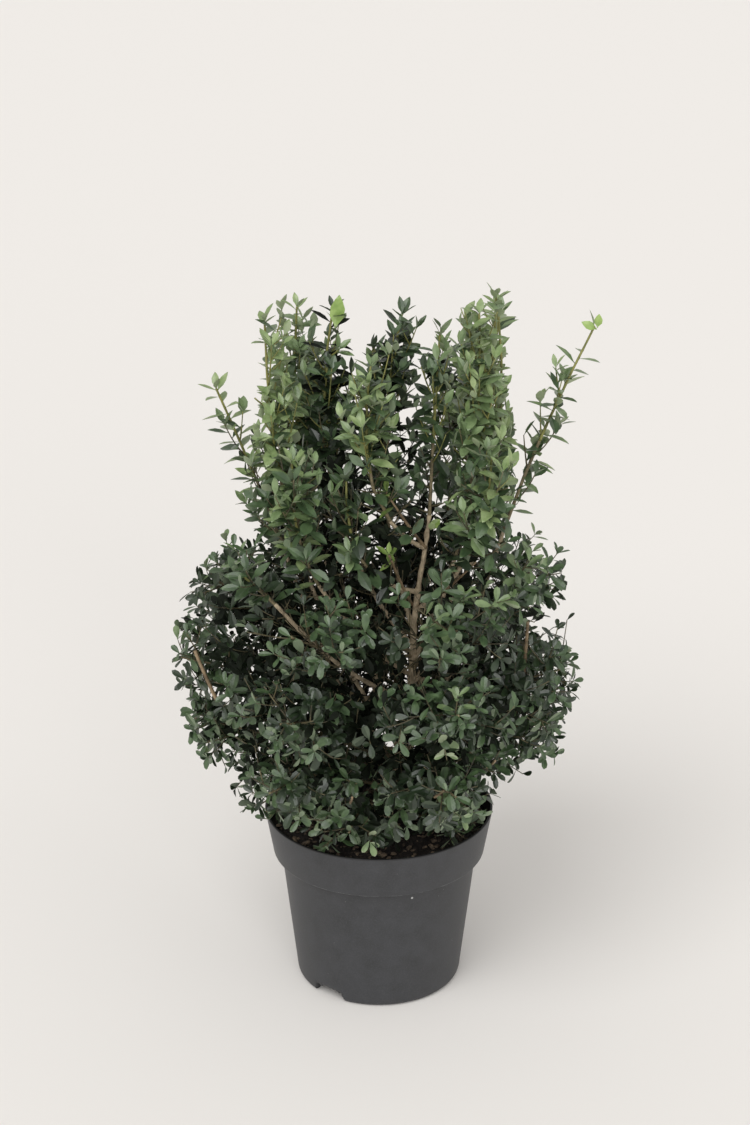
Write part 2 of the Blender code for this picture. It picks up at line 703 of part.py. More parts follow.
def make_pot(material):
    boss, channel_inner, channel_outer = CHANNEL_RADII
    land = FOOT_RADIUS - FOOT_ROUNDING - FOOT_LAND_WIDTH / 2
    corners = [
        (0.0, 0.0, 0.0),
        (boss, 0.0, 0.0),
        (channel_inner, CHANNEL_HEIGHT, 0.0),
        (channel_outer, CHANNEL_HEIGHT, 0.0),
        (land, 0.0, 0.0),
        (FOOT_RADIUS, 0.0, FOOT_ROUNDING),
        (BODY_TOP_RADIUS, BODY_TOP, 0.0),
        (COLLAR_FOOT_RADIUS, BODY_TOP, 0.0),
        (RIM_RADIUS, POT_HEIGHT, 0.0),
        (RIM_RADIUS - LIP_WIDTH, POT_HEIGHT, 0.0),
        *reversed(inside_corners(0.0)),
    ]
    pot = add_object("pot", lathe("pot", rounded(corners), POT_SIDES), material)
    cutter = bpy.data.objects.new("notch_cutter", notch_cutter())
    bpy.context.scene.collection.objects.link(cutter)
    cut = pot.modifiers.new("Notch", "BOOLEAN")
    cut.operation = "DIFFERENCE"
    cut.object = cutter
    with bpy.context.temp_override(object=pot, active_object=pot, selected_objects=[pot]):
        bpy.ops.object.modifier_apply(modifier=cut.name)
    bpy.data.objects.remove(cutter)


def make_soil(material):
    """Soil that fills the pot, uneven on top apart from a level patch under the trunk."""
    edge = collar_inside(SOIL_TOP) - GAP
    rings = [(edge * share, SOIL_TOP) for share in SOIL_RINGS]
    outline = rounded(inside_corners(GAP)) + [(edge, SOIL_TOP), *rings, (SOIL_FLAT_RADIUS, SOIL_TOP), (0.0, SOIL_TOP)]
    mesh = lathe("soil", outline, POT_SIDES)
    dice = np.random.default_rng(SEED)
    for vert in mesh.vertices:
        around = math.hypot(vert.co.x, vert.co.y)
        if vert.co.z > SOIL_TOP - MM and around > SOIL_FLAT_RADIUS + MM:
            vert.co.z += SOIL_ROUGHNESS * dice.uniform(-1, 1)
    return add_object("soil", mesh, material)


def make_material(name, colour, roughness):
    material = bpy.data.materials.new(name)
    material.use_nodes = True
    shader = material.node_tree.nodes["Principled BSDF"]
    shader.inputs["Base Color"].default_value = (*colour, 1.0)
    shader.inputs["Roughness"].default_value = roughness
    shader.inputs["Metallic"].default_value = 0.0
    return material


def make_plant(leaf_green, bark):
    trunk = trunk_rings(0.0)
    shell_mesh = tube_mesh("trunk_shell", trunk_rings(GAP + CHORD_ALLOWANCE))
    shape = bmesh.new()
    shape.from_mesh(shell_mesh)
    trunk_shell = BVHTree.FromBMesh(shape)
    shape.free()
    bpy.data.meshes.remove(shell_mesh)
    add_object("trunk", tube_mesh("trunk", trunk), bark)
    boughs, masses = make_limbs()
    for bough in boughs:
        rings, middle = seated_rings(bough, BOUGH_SIDES, trunk_shell)
        add_object(bough.name, tube_mesh(bough.name, rings, middle), bark)
    room = Room(boughs, masses)
    for number, mass in enumerate(masses):
        dice = np.random.default_rng([SEED, number])
        rings, middle = seated_rings(mass.stem, STEM_SIDES, trunk_shell)
        twigs = twig_lines(mass, room, dice)
        leaves = grow_leaves(mass, twigs, room, dice)
        join_mass(mass, twigs, leaves, tube_mesh(mass.name, rings, middle), leaf_green)


def main():
    for obj in list(bpy.data.objects):
        bpy.data.objects.remove(obj)
    make_pot(make_material("pot_plastic", (0.070, 0.074, 0.080), 0.55))
    make_soil(make_material("potting_soil", (0.030, 0.022, 0.016), 0.95))
    leaf_green = make_material("leaf_green", (0.045, 0.090, 0.040), 0.45)
    bark = make_material("bark", (0.200, 0.140, 0.085), 0.85)
    make_plant(leaf_green, bark)


main()
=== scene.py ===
"""The finish of a young Japanese holly in a round plastic nursery pot.

Metres, +Z up. The limbs, the spaces of the masses and the first twigs follow the same rule as the
solids. Here the rule goes on to finer twigs and to leaves of the plant's true size.
"""

import math
from typing import NamedTuple

import bpy
import numpy as np
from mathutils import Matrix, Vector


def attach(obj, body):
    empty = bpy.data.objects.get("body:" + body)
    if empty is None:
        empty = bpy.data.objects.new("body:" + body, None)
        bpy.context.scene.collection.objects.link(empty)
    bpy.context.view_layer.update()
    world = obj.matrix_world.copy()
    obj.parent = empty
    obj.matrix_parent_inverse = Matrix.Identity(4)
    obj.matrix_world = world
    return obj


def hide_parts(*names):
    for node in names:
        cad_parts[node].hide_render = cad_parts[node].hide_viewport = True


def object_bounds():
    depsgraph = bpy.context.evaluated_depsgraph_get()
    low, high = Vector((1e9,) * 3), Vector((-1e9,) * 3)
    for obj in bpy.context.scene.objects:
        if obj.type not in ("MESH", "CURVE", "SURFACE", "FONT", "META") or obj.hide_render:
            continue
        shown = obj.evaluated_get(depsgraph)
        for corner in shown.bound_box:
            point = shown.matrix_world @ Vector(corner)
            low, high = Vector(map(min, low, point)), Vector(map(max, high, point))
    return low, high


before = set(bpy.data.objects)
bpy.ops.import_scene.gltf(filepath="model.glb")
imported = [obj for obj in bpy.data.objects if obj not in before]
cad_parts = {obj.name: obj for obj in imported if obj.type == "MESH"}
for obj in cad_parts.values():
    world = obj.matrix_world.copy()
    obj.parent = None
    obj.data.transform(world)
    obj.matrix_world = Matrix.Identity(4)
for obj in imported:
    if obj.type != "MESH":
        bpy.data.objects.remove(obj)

CAD_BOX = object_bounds()
MM = 0.001
GAP = 0.3 * MM
UP = np.array([0.0, 0.0, 1.0])
GOLDEN_TURN = math.radians(137.5)
GOLDEN_SHARE = 0.618

# Pot
POT_HEIGHT = 183 * MM
RIM_RADIUS = 112.5 * MM
LIP_WIDTH = 2.5 * MM
COLLAR_HEIGHT = 45 * MM
COLLAR_FOOT_RADIUS = 104.5 * MM
BODY_TOP_RADIUS = 97 * MM
FOOT_RADIUS = 81 * MM
FOOT_ROUNDING = 7 * MM
FOOT_LAND_WIDTH = 5 * MM
CHANNEL_HEIGHT = 13 * MM
CHANNEL_RADII = (50 * MM, 56 * MM, 68 * MM)
POT_WALL = 1.8 * MM
BODY_TOP = POT_HEIGHT - COLLAR_HEIGHT
NOTCH_WIDTH = 38 * MM
NOTCH_AZIMUTH = math.radians(270 - 38)
NOTCH_HEIGHTS = (0.0, 9.5 * MM, 12 * MM, 10 * MM, 12 * MM, 12 * MM, 11.5 * MM, 9.5 * MM, 0.0)
NOTCH_PLACES = (0.0, 0.08, 0.18, 0.29, 0.34, 0.53, 0.71, 0.91, 1.0)
SPECK_PLACE = (32 * MM, -90.5 * MM, 129 * MM)
SOIL_TOP = 165 * MM

# Trunk, boughs and stems
TRUNK_LINE = (
    (0.004, 0.000, SOIL_TOP + GAP),
    (0.018, -0.004, 0.220),
    (0.030, -0.011, 0.305),
    (0.034, -0.017, 0.395),
    (0.043, -0.021, 0.465),
    (0.047, -0.023, 0.500),
)
TRUNK_FOOT_RADIUS = 6.6 * MM
TRUNK_TIP_RADIUS = 2.7 * MM
FLARE = 3.2 * MM
FLARE_HEIGHT = 7 * MM
FLARE_LOBES = 5
BOUGH_RADII = (3.0 * MM, 2.1 * MM)
STEM_RADII = (2.0 * MM, 1.1 * MM)
BOUGH_BEND = (0.55, 0.55, 0.35)
STEM_BEND = 0.4
LIMB_CORNERS = 5
SEAT_DEPTH = 5 * MM
LIMB_CLEARANCE = 1.6 * MM
LIMB_SAMPLES = 80
START_SHIFTS = (0.0, 7 * MM, -7 * MM, 13 * MM, -13 * MM)
ROUTE_TRIALS = 37
ROUTE_WAYS = 6
ROUTE_PUSH = 7 * MM

# The rule of branching
SEED = 27
TWIG_SAMPLES = 7
TWIG_SPACING = 46 * MM
TWIG_LEAN = math.radians(52)
TWIG_SHARE = 0.62
SOLID_LEAF_LENGTH = 40 * MM
FULL_LEAF_REACH = 40 * MM
LEAST_TWIG_REACH = 32 * MM
LEAF_CLEARANCE = 2 * MM
RIM_ROOM = 7 * MM
RIM_GAP = 2 * MM
SOIL_GAP = 4 * MM
LIMB_SEARCH = 25 * MM
SPACE_MARGIN = 0.07
TURN_VARIATION = math.radians(12)
LEAN_VARIATION = math.radians(6)
LENGTH_VARIATION = 0.1
WIDENING_SHARE = 0.45
TIP_TAPER = 0.25
LAST_LEAF_SHARE = 0.95
LAST_TWIG_SHARE = 0.94
TWIG_RISE = 0.2
NUDGE = math.tau / 9
TRUNK_MASS_SHARES = (0.4, 0.42)
BOUGH_MASS_SHARES = (0.8, 0.1)

# The limbs as drawn, a little slimmer than the solids
DRAWN_TRUNK_HEIGHTS = (0.24, 0.34)
DRAWN_TRUNK_SHARES = (1.0, 0.74)
DRAWN_BOUGH_RADII = (2.5 * MM, 1.8 * MM)
DRAWN_STEM_RADII = (1.8 * MM, 1.0 * MM)
FIRST_TWIG_RADII = (1.1 * MM, 0.7 * MM)
SECOND_TWIG_RADII = (0.85 * MM, 0.5 * MM)
THIRD_TWIG_RADII = (0.6 * MM, 0.4 * MM)

# Finer twigs and true leaves
FULL_FOOT_SHARE = 0.85
FULL_RING_SHARE = 1.55
FULL_SHOOT_SHARES = (1.25, 1.12, 0.84)
LEAFY_BOUGH_START = 0.30
LEAFY_BOUGH_REACH = 42 * MM
LEAST_TWIG = 7 * MM
LEAF_STARTS = (0.25, 0.15)
LAST_SIDE_TWIG_SHARE = 0.93
FINE_TWIG_SIZES = (0.75, 1.15)
FINE_TWIG_CLEARANCE = 1.2 * MM
FINE_LEAF_CLEARANCE = 1.0 * MM
EDGE_ROOM = 9 * MM
BOX_ROOM = 1.5 * MM
LEAF_PLACES = (0.0, 0.14, 0.38, 0.64, 0.87, 1.0)
LEAF_SHAPES = (
    (0.10, 0.22, 0.72, 1.00, 0.82, 0.12),
    (0.10, 0.26, 0.92, 0.96, 0.48, 0.05),
)
LEAF_SECTION = ((-1.0, 0.20), (0.0, 0.0), (1.0, 0.20), (0.0, -0.06))
LEAF_LEANS = (math.radians(66), math.radians(83))
LEAF_LEAN_PLACES = (0.0, 6 * MM, 25 * MM)
LEAF_SIZES = (0.66, 0.88, 1.0)
LEAF_SIZE_PLACES = (0.0, 5 * MM, 18 * MM)
TUFT_SHARES = (0.985, 0.995, 1.0)
LEAF_SIZE_VARIATION = (0.80, 1.14)
LEAF_TURN_VARIATION = 0.2
LEAF_LEAN_VARIATION = math.radians(8)
STEM_END = 14 * MM
CROWN_HEIGHTS = (0.18, 0.25, 0.30, 0.37, 0.45, 0.50, 0.60, 0.72)
CROWN_RADII = (0.12, 0.17, 0.185, 0.20, 0.175, 0.115, 0.105, 0.10)
BARE_CORE = (0.40, 0.22, 0.08, 0.0, 0.0, 0.0, 0.0, 0.0)
LOW_CROWN_HEIGHTS = (0.150, 0.205, 0.222, 0.237, 0.254, 0.286, 0.335, 0.366, 0.414, 0.445, 0.476, 0.51)
LOW_CROWN_LEFT = (0.112, 0.122, 0.162, 0.184, 0.187, 0.192, 0.204, 0.207, 0.188, 0.169, 0.150, 0.130)
LOW_CROWN_RIGHT = (0.112, 0.118, 0.132, 0.172, 0.182, 0.186, 0.203, 0.192, 0.186, 0.186, 0.178, 0.155)
HIGH_CROWN_HEIGHTS = (0.48, 0.56, 0.61, 0.655, 0.68, 0.71)
HIGH_CROWN_LEFT = (0.150, 0.128, 0.112, 0.110, 0.116, 0.118)
HIGH_CROWN_RIGHT = (0.160, 0.132, 0.120, 0.122, 0.134, 0.136)
PIECE_FACES = 90000
FRESH_END = 9 * MM
FRESH_HEIGHT = 0.57
GREEN_HEIGHT = 0.55
WOODY_SHARE = 0.45
TONE_STEPS = (0.0, 0.48, 0.94, 1.30, 1.75)
# Lift by height: partly the paler young growth of the upper shoots, partly painted light and shade that makes
# each height band of the crown as bright as it looks lit.
TONE_HEIGHTS = (0.20, 0.30, 0.42, 0.50, 0.58, 0.70)
HEIGHT_TONE_AND_LIGHT_LIFTS = (0.34, -0.04, 0.08, 0.38, 0.60, 0.78)
# Painted shade: sprays that end deep inside the crown are pushed to darker greens, down to near black.
PAINTED_SHADE_SHARES = (0.45, 0.72, 0.95)
PAINTED_SHADE_LIFTS = (-0.95, -0.35, 0.0)
TOWARDS_FRONT = np.array([0.0, -0.914, 0.405])

# Bark chips on the soil
CHIP_COUNT = 600
CHIP_SIZES = (0.9, 3.1)
CHIP_SHAPE = (1.5, 0.9, 0.45)
CHIP_RINGS = np.radians([18, 65, 115, 162])

# Camera and lights. A light has a place in the sky, a spread and a strength.
CAMERA_PLACE = (-0.0038, -2.3, 1.4185)
CAMERA_TILT = math.radians(67)
FOCAL_PIXELS = 2630
PHOTO_HEIGHT = 1125
SENSOR_SIZE = 36
FLOOR_REACH = 60
LIGHTS = (
    ("key", (-30, 50), 40, 1.4),
    ("fill", (45, 35), 50, 0.25),
    ("front", (10, 18), 35, 0.9),
)


class Tone(NamedTuple):
    """A leaf's colours: the deeper and the brighter green of its top and that of its underside, with the
    top's roughness and gloss."""

    name: str
    deep: tuple
    bright: tuple
    under: tuple
    roughness: float = 0.27
    gloss: float = 0.6


TONES = (
    # painted shade: a near-black, dull green with little gloss, for leaves deep inside the crown where shadow
    # falls
    Tone("shade", (12, 17, 9), (20, 27, 15), (32, 39, 27), 0.6, 0.15),
    Tone("deep", (29, 42, 26), (44, 59, 37), (76, 88, 69)),
    Tone("mid", (55, 74, 48), (78, 99, 65), (116, 131, 104)),
    Tone("fresh", (92, 112, 72), (120, 140, 98), (146, 158, 128)),
    Tone("light", (114, 135, 86), (146, 163, 114), (160, 173, 138)),
    Tone("young", (118, 146, 70), (152, 177, 101), (166, 185, 130)),
)


class TwigRule(NamedTuple):
    """How side twigs grow: their spacing, their lean at the parent's foot and from 40% of the way on, their
    length as a share of the mass's reach, and their rise towards the tip."""

    spacing: float
    leans: tuple
    size: float
    rise: float


def degrees(*angles):
    return tuple(math.radians(angle) for angle in angles)


class Habit(NamedTuple):
    """How a mass's finer twigs and its leaves grow. Twigs sit between two shares of the stem."""

    twig_shares: tuple
    stem_twigs: TwigRule
    side_twigs: TwigRule
    leaf_spacing: float
    leaf_length: float
    leaf_width: float
    end_lean: float
    leaf_shape: int


BOUGH_TWIGS = TwigRule(8 * MM, degrees(58, 58), 1.0, 0.2)
LOW = Habit(
    twig_shares=(0.05, 0.97),
    stem_twigs=TwigRule(8.5 * MM, degrees(60, 56), 1.6, 0.08),
    side_twigs=TwigRule(10 * MM, degrees(45, 45), 0.6, 0.25),
    leaf_spacing=4.9 * MM,
    leaf_length=19.5 * MM,
    leaf_width=7.8 * MM,
    end_lean=math.radians(50),
    leaf_shape=0,
)
HIGH = Habit(
    twig_shares=(0.0, 0.76),
    stem_twigs=TwigRule(8 * MM, degrees(85, 38), 1.5, 0.7),
    side_twigs=TwigRule(20 * MM, degrees(45, 45), 0.7, 0.25),
    leaf_spacing=5.4 * MM,
    leaf_length=25 * MM,
    leaf_width=10.2 * MM,
    end_lean=math.radians(36),
    leaf_shape=1,
)
SLIM = HIGH._replace(
    twig_shares=(0.06, 0.70),
    stem_twigs=TwigRule(14 * MM, degrees(50, 36), 1.0, 0.7),
    side_twigs=TwigRule(40 * MM, degrees(45, 45), 0.5, 0.25),
    leaf_spacing=6.0 * MM,
    leaf_width=10 * MM,
)
TOWER = HIGH._replace(twig_shares=(0.0, 0.88))
SLIM_MASSES = ("right_spray", "left_spray")
TOWER_MASSES = ("left_tower_front", "right_tower_front")


class Twig(NamedTuple):
    """A twig that shows bare: its ends, its radius at both, and whether it has a young tuft."""

    foot: tuple
    tip: tuple
    radii: tuple
    tuft: bool


BARE_TWIGS = (
    Twig((0.0313, -0.017, 0.406), (0.0092, -0.060, 0.4752), (1.7 * MM, 1.2 * MM), True),
    Twig((0.0400, -0.018, 0.403), (0.0901, -0.050, 0.4639), (1.5 * MM, 0.9 * MM), False),
    Twig((0.0440, -0.023, 0.467), (0.0064, -0.058, 0.537), (1.6 * MM, 1.0 * MM), True),
    Twig((-0.1540, -0.045, 0.318), (-0.1735, -0.052, 0.3738), (1.9 * MM, 1.6 * MM), False),
    Twig((0.1370, -0.045, 0.346), (0.1392, -0.060, 0.4073), (1.9 * MM, 1.5 * MM), False),
    Twig((-0.0270, -0.115, 0.246), (-0.0250, -0.134, 0.262), (1.3 * MM, 1.1 * MM), False),
    Twig((0.0520, -0.120, 0.255), (0.0600, -0.143, 0.274), (1.4 * MM, 1.1 * MM), False),
    Twig((0.1020, -0.085, 0.268), (0.1090, -0.103, 0.284), (1.3 * MM, 1.1 * MM), False),
)
TWIG_OPENING = 5 * MM
SHOWN_TRUNK = (0.33, 0.50)
SHOWN_LEADER_TOP = 0.63


class MarkedLeaf(NamedTuple):
    """A bright young leaf that stands out: where it is joined on, where it points, its length and width."""

    base: tuple
    heading: tuple
    length: float
    width: float


MARKED_LEAVES = (
    MarkedLeaf((-0.0400, -0.013, 0.679), (0.12, -0.10, 1.0), 32 * MM, 14 * MM),
    MarkedLeaf((0.0480, -0.027, 0.488), (0.55, -0.35, 0.75), 15 * MM, 9 * MM),
    MarkedLeaf((0.0480, -0.028, 0.487), (0.15, -0.55, 0.80), 12 * MM, 7 * MM),
    MarkedLeaf((0.2014, 0.019, 0.6695), (0.10, -0.10, 1.0), 13 * MM, 8 * MM),
    MarkedLeaf((0.2010, 0.019, 0.6680), (-0.90, -0.25, 0.55), 16 * MM, 8 * MM),
)


class Shoot(NamedTuple):
    """An upper shoot: where its stem starts and its last leaf ends, and how far it spreads."""

    name: str
    foot: tuple
    tip: tuple
    reach: float
    trunk_height: float


class Ring(NamedTuple):
    """Masses set evenly round the trunk, which bend at (radius, height) on the way to their tips."""

    name: str
    count: int
    phase: float
    bend: tuple
    tip: tuple
    tilt: float
    reach: float
    trunk_height: float


SHOOTS = (
    Shoot("left_tower_front", (-0.066, -0.036, 0.440), (-0.104, -0.030, 0.710), 0.036, 0.250),
    Shoot("left_tower_back", (-0.054, 0.042, 0.435), (-0.076, 0.058, 0.694), 0.036, 0.272),
    Shoot("left_crest", (-0.024, -0.004, 0.452), (-0.040, -0.012, 0.7135), 0.033, 0.362),
    Shoot("front_middle", (0.010, -0.050, 0.505), (-0.006, -0.060, 0.675), 0.033, 0.466),
    Shoot("front_inner", (-0.004, -0.055, 0.452), (-0.030, -0.072, 0.570), 0.034, 0.420),
    Shoot("middle", (0.012, 0.028, 0.445), (0.024, 0.028, 0.694), 0.034, 0.380),
    Shoot("right_tower_front", (0.072, -0.018, 0.455), (0.090, -0.020, 0.712), 0.034, 0.345),
    Shoot("right_tower_back", (0.084, 0.042, 0.445), (0.109, 0.052, 0.705), 0.035, 0.292),
    Shoot("right_edge", (0.094, 0.004, 0.460), (0.108, 0.004, 0.702), 0.028, 0.318),
    Shoot("right_spray", (0.118, 0.010, 0.470), (0.205, 0.020, 0.684), 0.030, 0.228),
    Shoot("left_spray", (-0.090, 0.002, 0.455), (-0.156, 0.000, 0.630), 0.031, 0.212),
    Shoot("back_left", (-0.050, 0.095, 0.440), (-0.062, 0.106, 0.625), 0.040, 0.240),
    Shoot("back_right", (0.066, 0.100, 0.440), (0.080, 0.110, 0.635), 0.042, 0.260),
    Shoot("front_left", (-0.056, -0.072, 0.450), (-0.078, -0.088, 0.592), 0.037, 0.330),
    Shoot("front_right", (0.078, -0.050, 0.462), (0.102, -0.078, 0.592), 0.037, 0.400),
    Shoot("front_shoulder", (-0.096, -0.092, 0.440), (-0.138, -0.106, 0.486), 0.038, 0.300),
)
LEADER = Shoot("leader", TRUNK_LINE[-1], (0.056, -0.020, 0.692), 0.028, TRUNK_LINE[-1][2])
LEADER_BEND = (0.003, 0.0, 0.09)
RINGS = (
    Ring("shoulder", 6, math.radians(0), (0.090, 0.386), (0.164, 0.440), 0.08, 0.055, 0.345),
    Ring("belly", 7, math.radians(-14), (0.100, 0.326), (0.200, 0.366), 0.0, 0.057, 0.290),
    Ring("hem", 6, math.radians(-4), (0.095, 0.274), (0.188, 0.278), 0.05, 0.056, 0.235),
    Ring("skirt", 5, math.radians(-32), (0.060, 0.226), (0.112, 0.198), 0.0, 0.044, 0.190),
)
RING_MIDDLE = (-0.006, 0.0)
RING_STAGGER = 16 * MM


def unit(vectors):
    return vectors / np.linalg.norm(vectors, axis=-1, keepdims=True)


def length_of(line):
    return np.linalg.norm(np.diff(line, axis=0), axis=1).sum()


def distances(points, others):
    """The distance from each of the points to each of the others."""
    return np.linalg.norm(points[:, None] - others[None], axis=2)


def points_at(places, measure, line):
    """The points of a line at which a measure that grows along it has these values."""
    return np.stack([np.interp(places, measure, line[:, k]) for k in range(3)], 1)


def evenly(line, count):
    """This many points at even distances along a line of straight stretches."""
    travelled = np.concatenate([[0.0], np.cumsum(np.linalg.norm(np.diff(line, axis=0), axis=1))])
    return points_at(np.linspace(0, travelled[-1], count), travelled, line)


def bend_line(start, bend, end, count):
    """A quadratic curve from start to end, drawn towards bend."""
    t = np.linspace(0, 1, count)[:, None]
    return (1 - t) ** 2 * start + 2 * t * (1 - t) * bend + t**2 * end


def smooth_line(points, count):
    """A cubic curve through all the points, whose slope at each is that between its neighbours."""
    points = np.array(points, float)
    places = np.linspace(0, len(points) - 1, count)
    first = np.clip(places.astype(int), 0, len(points) - 2)
    t = (places - first)[:, None]
    slopes = np.gradient(points, axis=0)
    start, end = points[first], points[first + 1]
    return (
        (2 * t**3 - 3 * t**2 + 1) * start
        + (t**3 - 2 * t**2 + t) * slopes[first]
        + (3 * t**2 - 2 * t**3) * end
        + (t**3 - t**2) * slopes[first + 1]
    )


def frame_along(line):
    """The unit tangent, side and front of a line at each of its points."""
    along = unit(np.gradient(line, axis=0))
    middle = line[len(line) // 2]
    across = np.cross(middle - line[0], line[-1] - middle)
    if np.linalg.norm(across) < 1e-3 * np.linalg.norm(line[-1] - line[0]) ** 2:
        across = np.cross(along[0], (0.0, 1.0, 0.31))
    side = unit(np.cross(across, along))
    return along, side, np.cross(along, side)


def leaning(axes, place, turn, lean):
    """Two ways at these places of a line with these axes: the one at this turn round the line and this lean
    out of it, and the one square to that, which faces on along the line."""
    along, side, front = [axis[place] for axis in axes]
    turn, lean = np.asarray(turn)[..., None], np.asarray(lean)[..., None]
    out = np.cos(turn) * side + np.sin(turn) * front
    return np.cos(lean) * along + np.sin(lean) * out, np.sin(lean) * along - np.cos(lean) * out


def trunk_line(count):
    """The trunk's middle line, with this many points."""
    return smooth_line(TRUNK_LINE, count)


def trunk_radii(line):
    """Radius at each point of the trunk: an even taper, and a flare that dies away above the soil."""
    height = line[:, 2] - line[0, 2]
    taper = TRUNK_FOOT_RADIUS + (TRUNK_TIP_RADIUS - TRUNK_FOOT_RADIUS) * height / height[-1]
    return taper + FLARE * np.exp(-height / FLARE_HEIGHT)


def trunk_starts(height):
    """Places on the trunk's middle line, at this height and a little above and below it."""
    line = trunk_line(200)
    return points_at(height + np.array(START_SHIFTS), line[:, 2], line)


def above_bark(points):
    """How far each point lies outside the trunk."""
    trunk = trunk_line(4 * LIMB_SAMPLES)
    return (distances(points, trunk) - trunk_radii(trunk)).min(axis=1)


class Limb:
    """A tapering limb between five corners, as the solids have it."""

    def __init__(self, name, line, radii, carrier=None):
        self.name = name
        self.carrier = carrier
        self.on_trunk = carrier is None
        if self.on_trunk:
            in_the_open = line[above_bark(line) > SEAT_DEPTH]
            self.corners = np.concatenate([line[:1], evenly(in_the_open, LIMB_CORNERS - 1)])
        else:
            self.corners = evenly(line, LIMB_CORNERS)
        self.line = evenly(self.corners, LIMB_SAMPLES)
        self.radii = np.linspace(*radii, LIMB_SAMPLES)
        self.is_open = above_bark(self.line) > 0


def clearance(limb, others):
    """The least gap between a limb and the others, where they are in the open."""
    line, radii = limb.line[limb.is_open], limb.radii[limb.is_open]
    gaps = [1.0]
    for other in others:
        apart = distances(line, other.line[other.is_open])
        gaps.append((apart - radii[:, None] - other.radii[other.is_open]).min())
    return min(gaps)


def routed(name, starts, bend, end, radii, laid, carrier=None):
    """A limb that misses the limbs laid before it. Its start moves along the trunk and its bend is pushed
    aside, in six directions and ever further, until it does, or else the trial with the most room is kept."""
    best = None
    along = unit(end - starts[0])
    side = unit(np.cross(along, UP))
    rise = np.cross(side, along)
    for trial in range(ROUTE_TRIALS):
        turn = trial * math.tau / ROUTE_WAYS
        push = ROUTE_PUSH * ((trial + ROUTE_WAYS - 1) // ROUTE_WAYS)
        shifted = bend + push * (math.cos(turn) * side + math.sin(turn) * rise)
        for start in starts:
            limb = Limb(name, bend_line(start, shifted, end, LIMB_SAMPLES), radii, carrier)
            room = clearance(limb, laid)
            if best is None or room > best[0]:
                best = (room, limb)
            if room > LIMB_CLEARANCE:
                return limb
    return best[1]


class Mass:
    """A mass of foliage: the line from its foot to its last leaf's tip, its stem and its space. The solid's
    space is a tube round the line, and the finer twigs and leaves have a fuller one."""

    def __init__(self, limb, reach):
        self.name = limb.name
        self.line = limb.line
        self.reach = reach
        self.on_trunk = limb.on_trunk
        foot_share, self.bare_share = TRUNK_MASS_SHARES if limb.on_trunk else BOUGH_MASS_SHARES
        share = np.linspace(0, 1, LIMB_SAMPLES)
        widening = np.clip(share / WIDENING_SHARE, 0, 1)
        taper = reach * (1 - TIP_TAPER * share**3)
        self.reaches = taper * (foot_share + (1 - foot_share) * widening * (2 - widening))
        if limb.on_trunk:
            spread = FULL_RING_SHARE * (FULL_FOOT_SHARE + (1 - FULL_FOOT_SHARE) * widening)
        elif limb.name in SLIM_MASSES:
            spread = np.ones(LIMB_SAMPLES)
        else:
            spread = np.interp(share, (0, 0.5, 1), FULL_SHOOT_SHARES)
        self.full_line = self.line
        self.full_reaches = taper * spread
        self.full_reach = self.full_reaches.max()
        self.length = length_of(self.line)
        leaf_size = min(1.0, reach / FULL_LEAF_REACH)
        last_leaf = LAST_LEAF_SHARE * leaf_size * SOLID_LEAF_LENGTH / self.length
        kept = self.line[share <= 1 - last_leaf]
        self.stem = Limb(self.name, kept, (limb.radii[0], limb.radii[-1]), limb.carrier)

    def add_bough(self, bough):
        """Gives the finer twigs and leaves the space round the outer part of the bough too."""
        self.bough = bough.line[int(LEAFY_BOUGH_START * LIMB_SAMPLES) :]
        reaches = np.full(len(self.bough[::2]), LEAFY_BOUGH_REACH)
        self.full_line = np.concatenate([self.bough[::2], self.line])
        self.full_reaches = np.concatenate([reaches, self.full_reaches])

    def shares(self, points):
        """How far each point lies from the stem's line, as a share of the solid's reach there."""
        return (distances(points, self.line) / self.reaches).min(axis=1)

    def full_shares(self, points):
        """The same as a share of the reach of the finer twigs and leaves."""
        return (distances(points, self.full_line) / self.full_reaches).min(axis=1)


def make_limbs():
    """The boughs and the masses, each laid clear of those before it."""
    foot, tip = np.array(LEADER.foot), np.array(LEADER.tip)
    line = bend_line(foot + GAP * UP, foot + LEADER_BEND, tip, LIMB_SAMPLES)
    leader = Mass(Limb(LEADER.name, line, STEM_RADII, UP), LEADER.reach)
    boughs, masses, laid = [], [leader], [leader.stem]
    for shoot in SHOOTS:
        foot, tip = np.array(shoot.foot), np.array(shoot.tip)
        starts = trunk_starts(shoot.trunk_height)
        bend = starts[0] + (foot - starts[0]) * BOUGH_BEND
        bough = routed("bough_" + shoot.name, starts, bend, foot, BOUGH_RADII, laid)
        heading = unit(bough.line[-1] - bough.line[-2])
        stem_start = foot + heading * GAP
        stem_bend = foot + heading * STEM_BEND * np.linalg.norm(tip - foot)
        stem = routed(shoot.name, [stem_start], stem_bend, tip, STEM_RADII, laid, heading)
        mass = Mass(stem, shoot.reach)
        mass.add_bough(bough)
        boughs.append(bough)
        masses.append(mass)
        laid += [bough, mass.stem]
    middle = np.array([*RING_MIDDLE, 0.0])
    for ring in RINGS:
        for k in range(ring.count):
            azimuth = ring.phase + k * math.tau / ring.count
            outward = np.array([math.cos(azimuth), math.sin(azimuth), 0.0])
            stagger = RING_STAGGER * ((k * GOLDEN_SHARE) % 1 - 0.5)
            lift = stagger + ring.tilt * ring.tip[0] * outward[0]
            starts = trunk_starts(ring.trunk_height + 2 * stagger)
            bend = middle + outward * ring.bend[0] + UP * (ring.bend[1] + lift)
            tip = middle + outward * ring.tip[0] + UP * (ring.tip[1] + lift)
            stem = routed(f"{ring.name}_{k + 1}", starts, bend, tip, STEM_RADII, laid)
            masses.append(Mass(stem, ring.reach))
            laid.append(masses[-1].stem)
    return boughs, masses


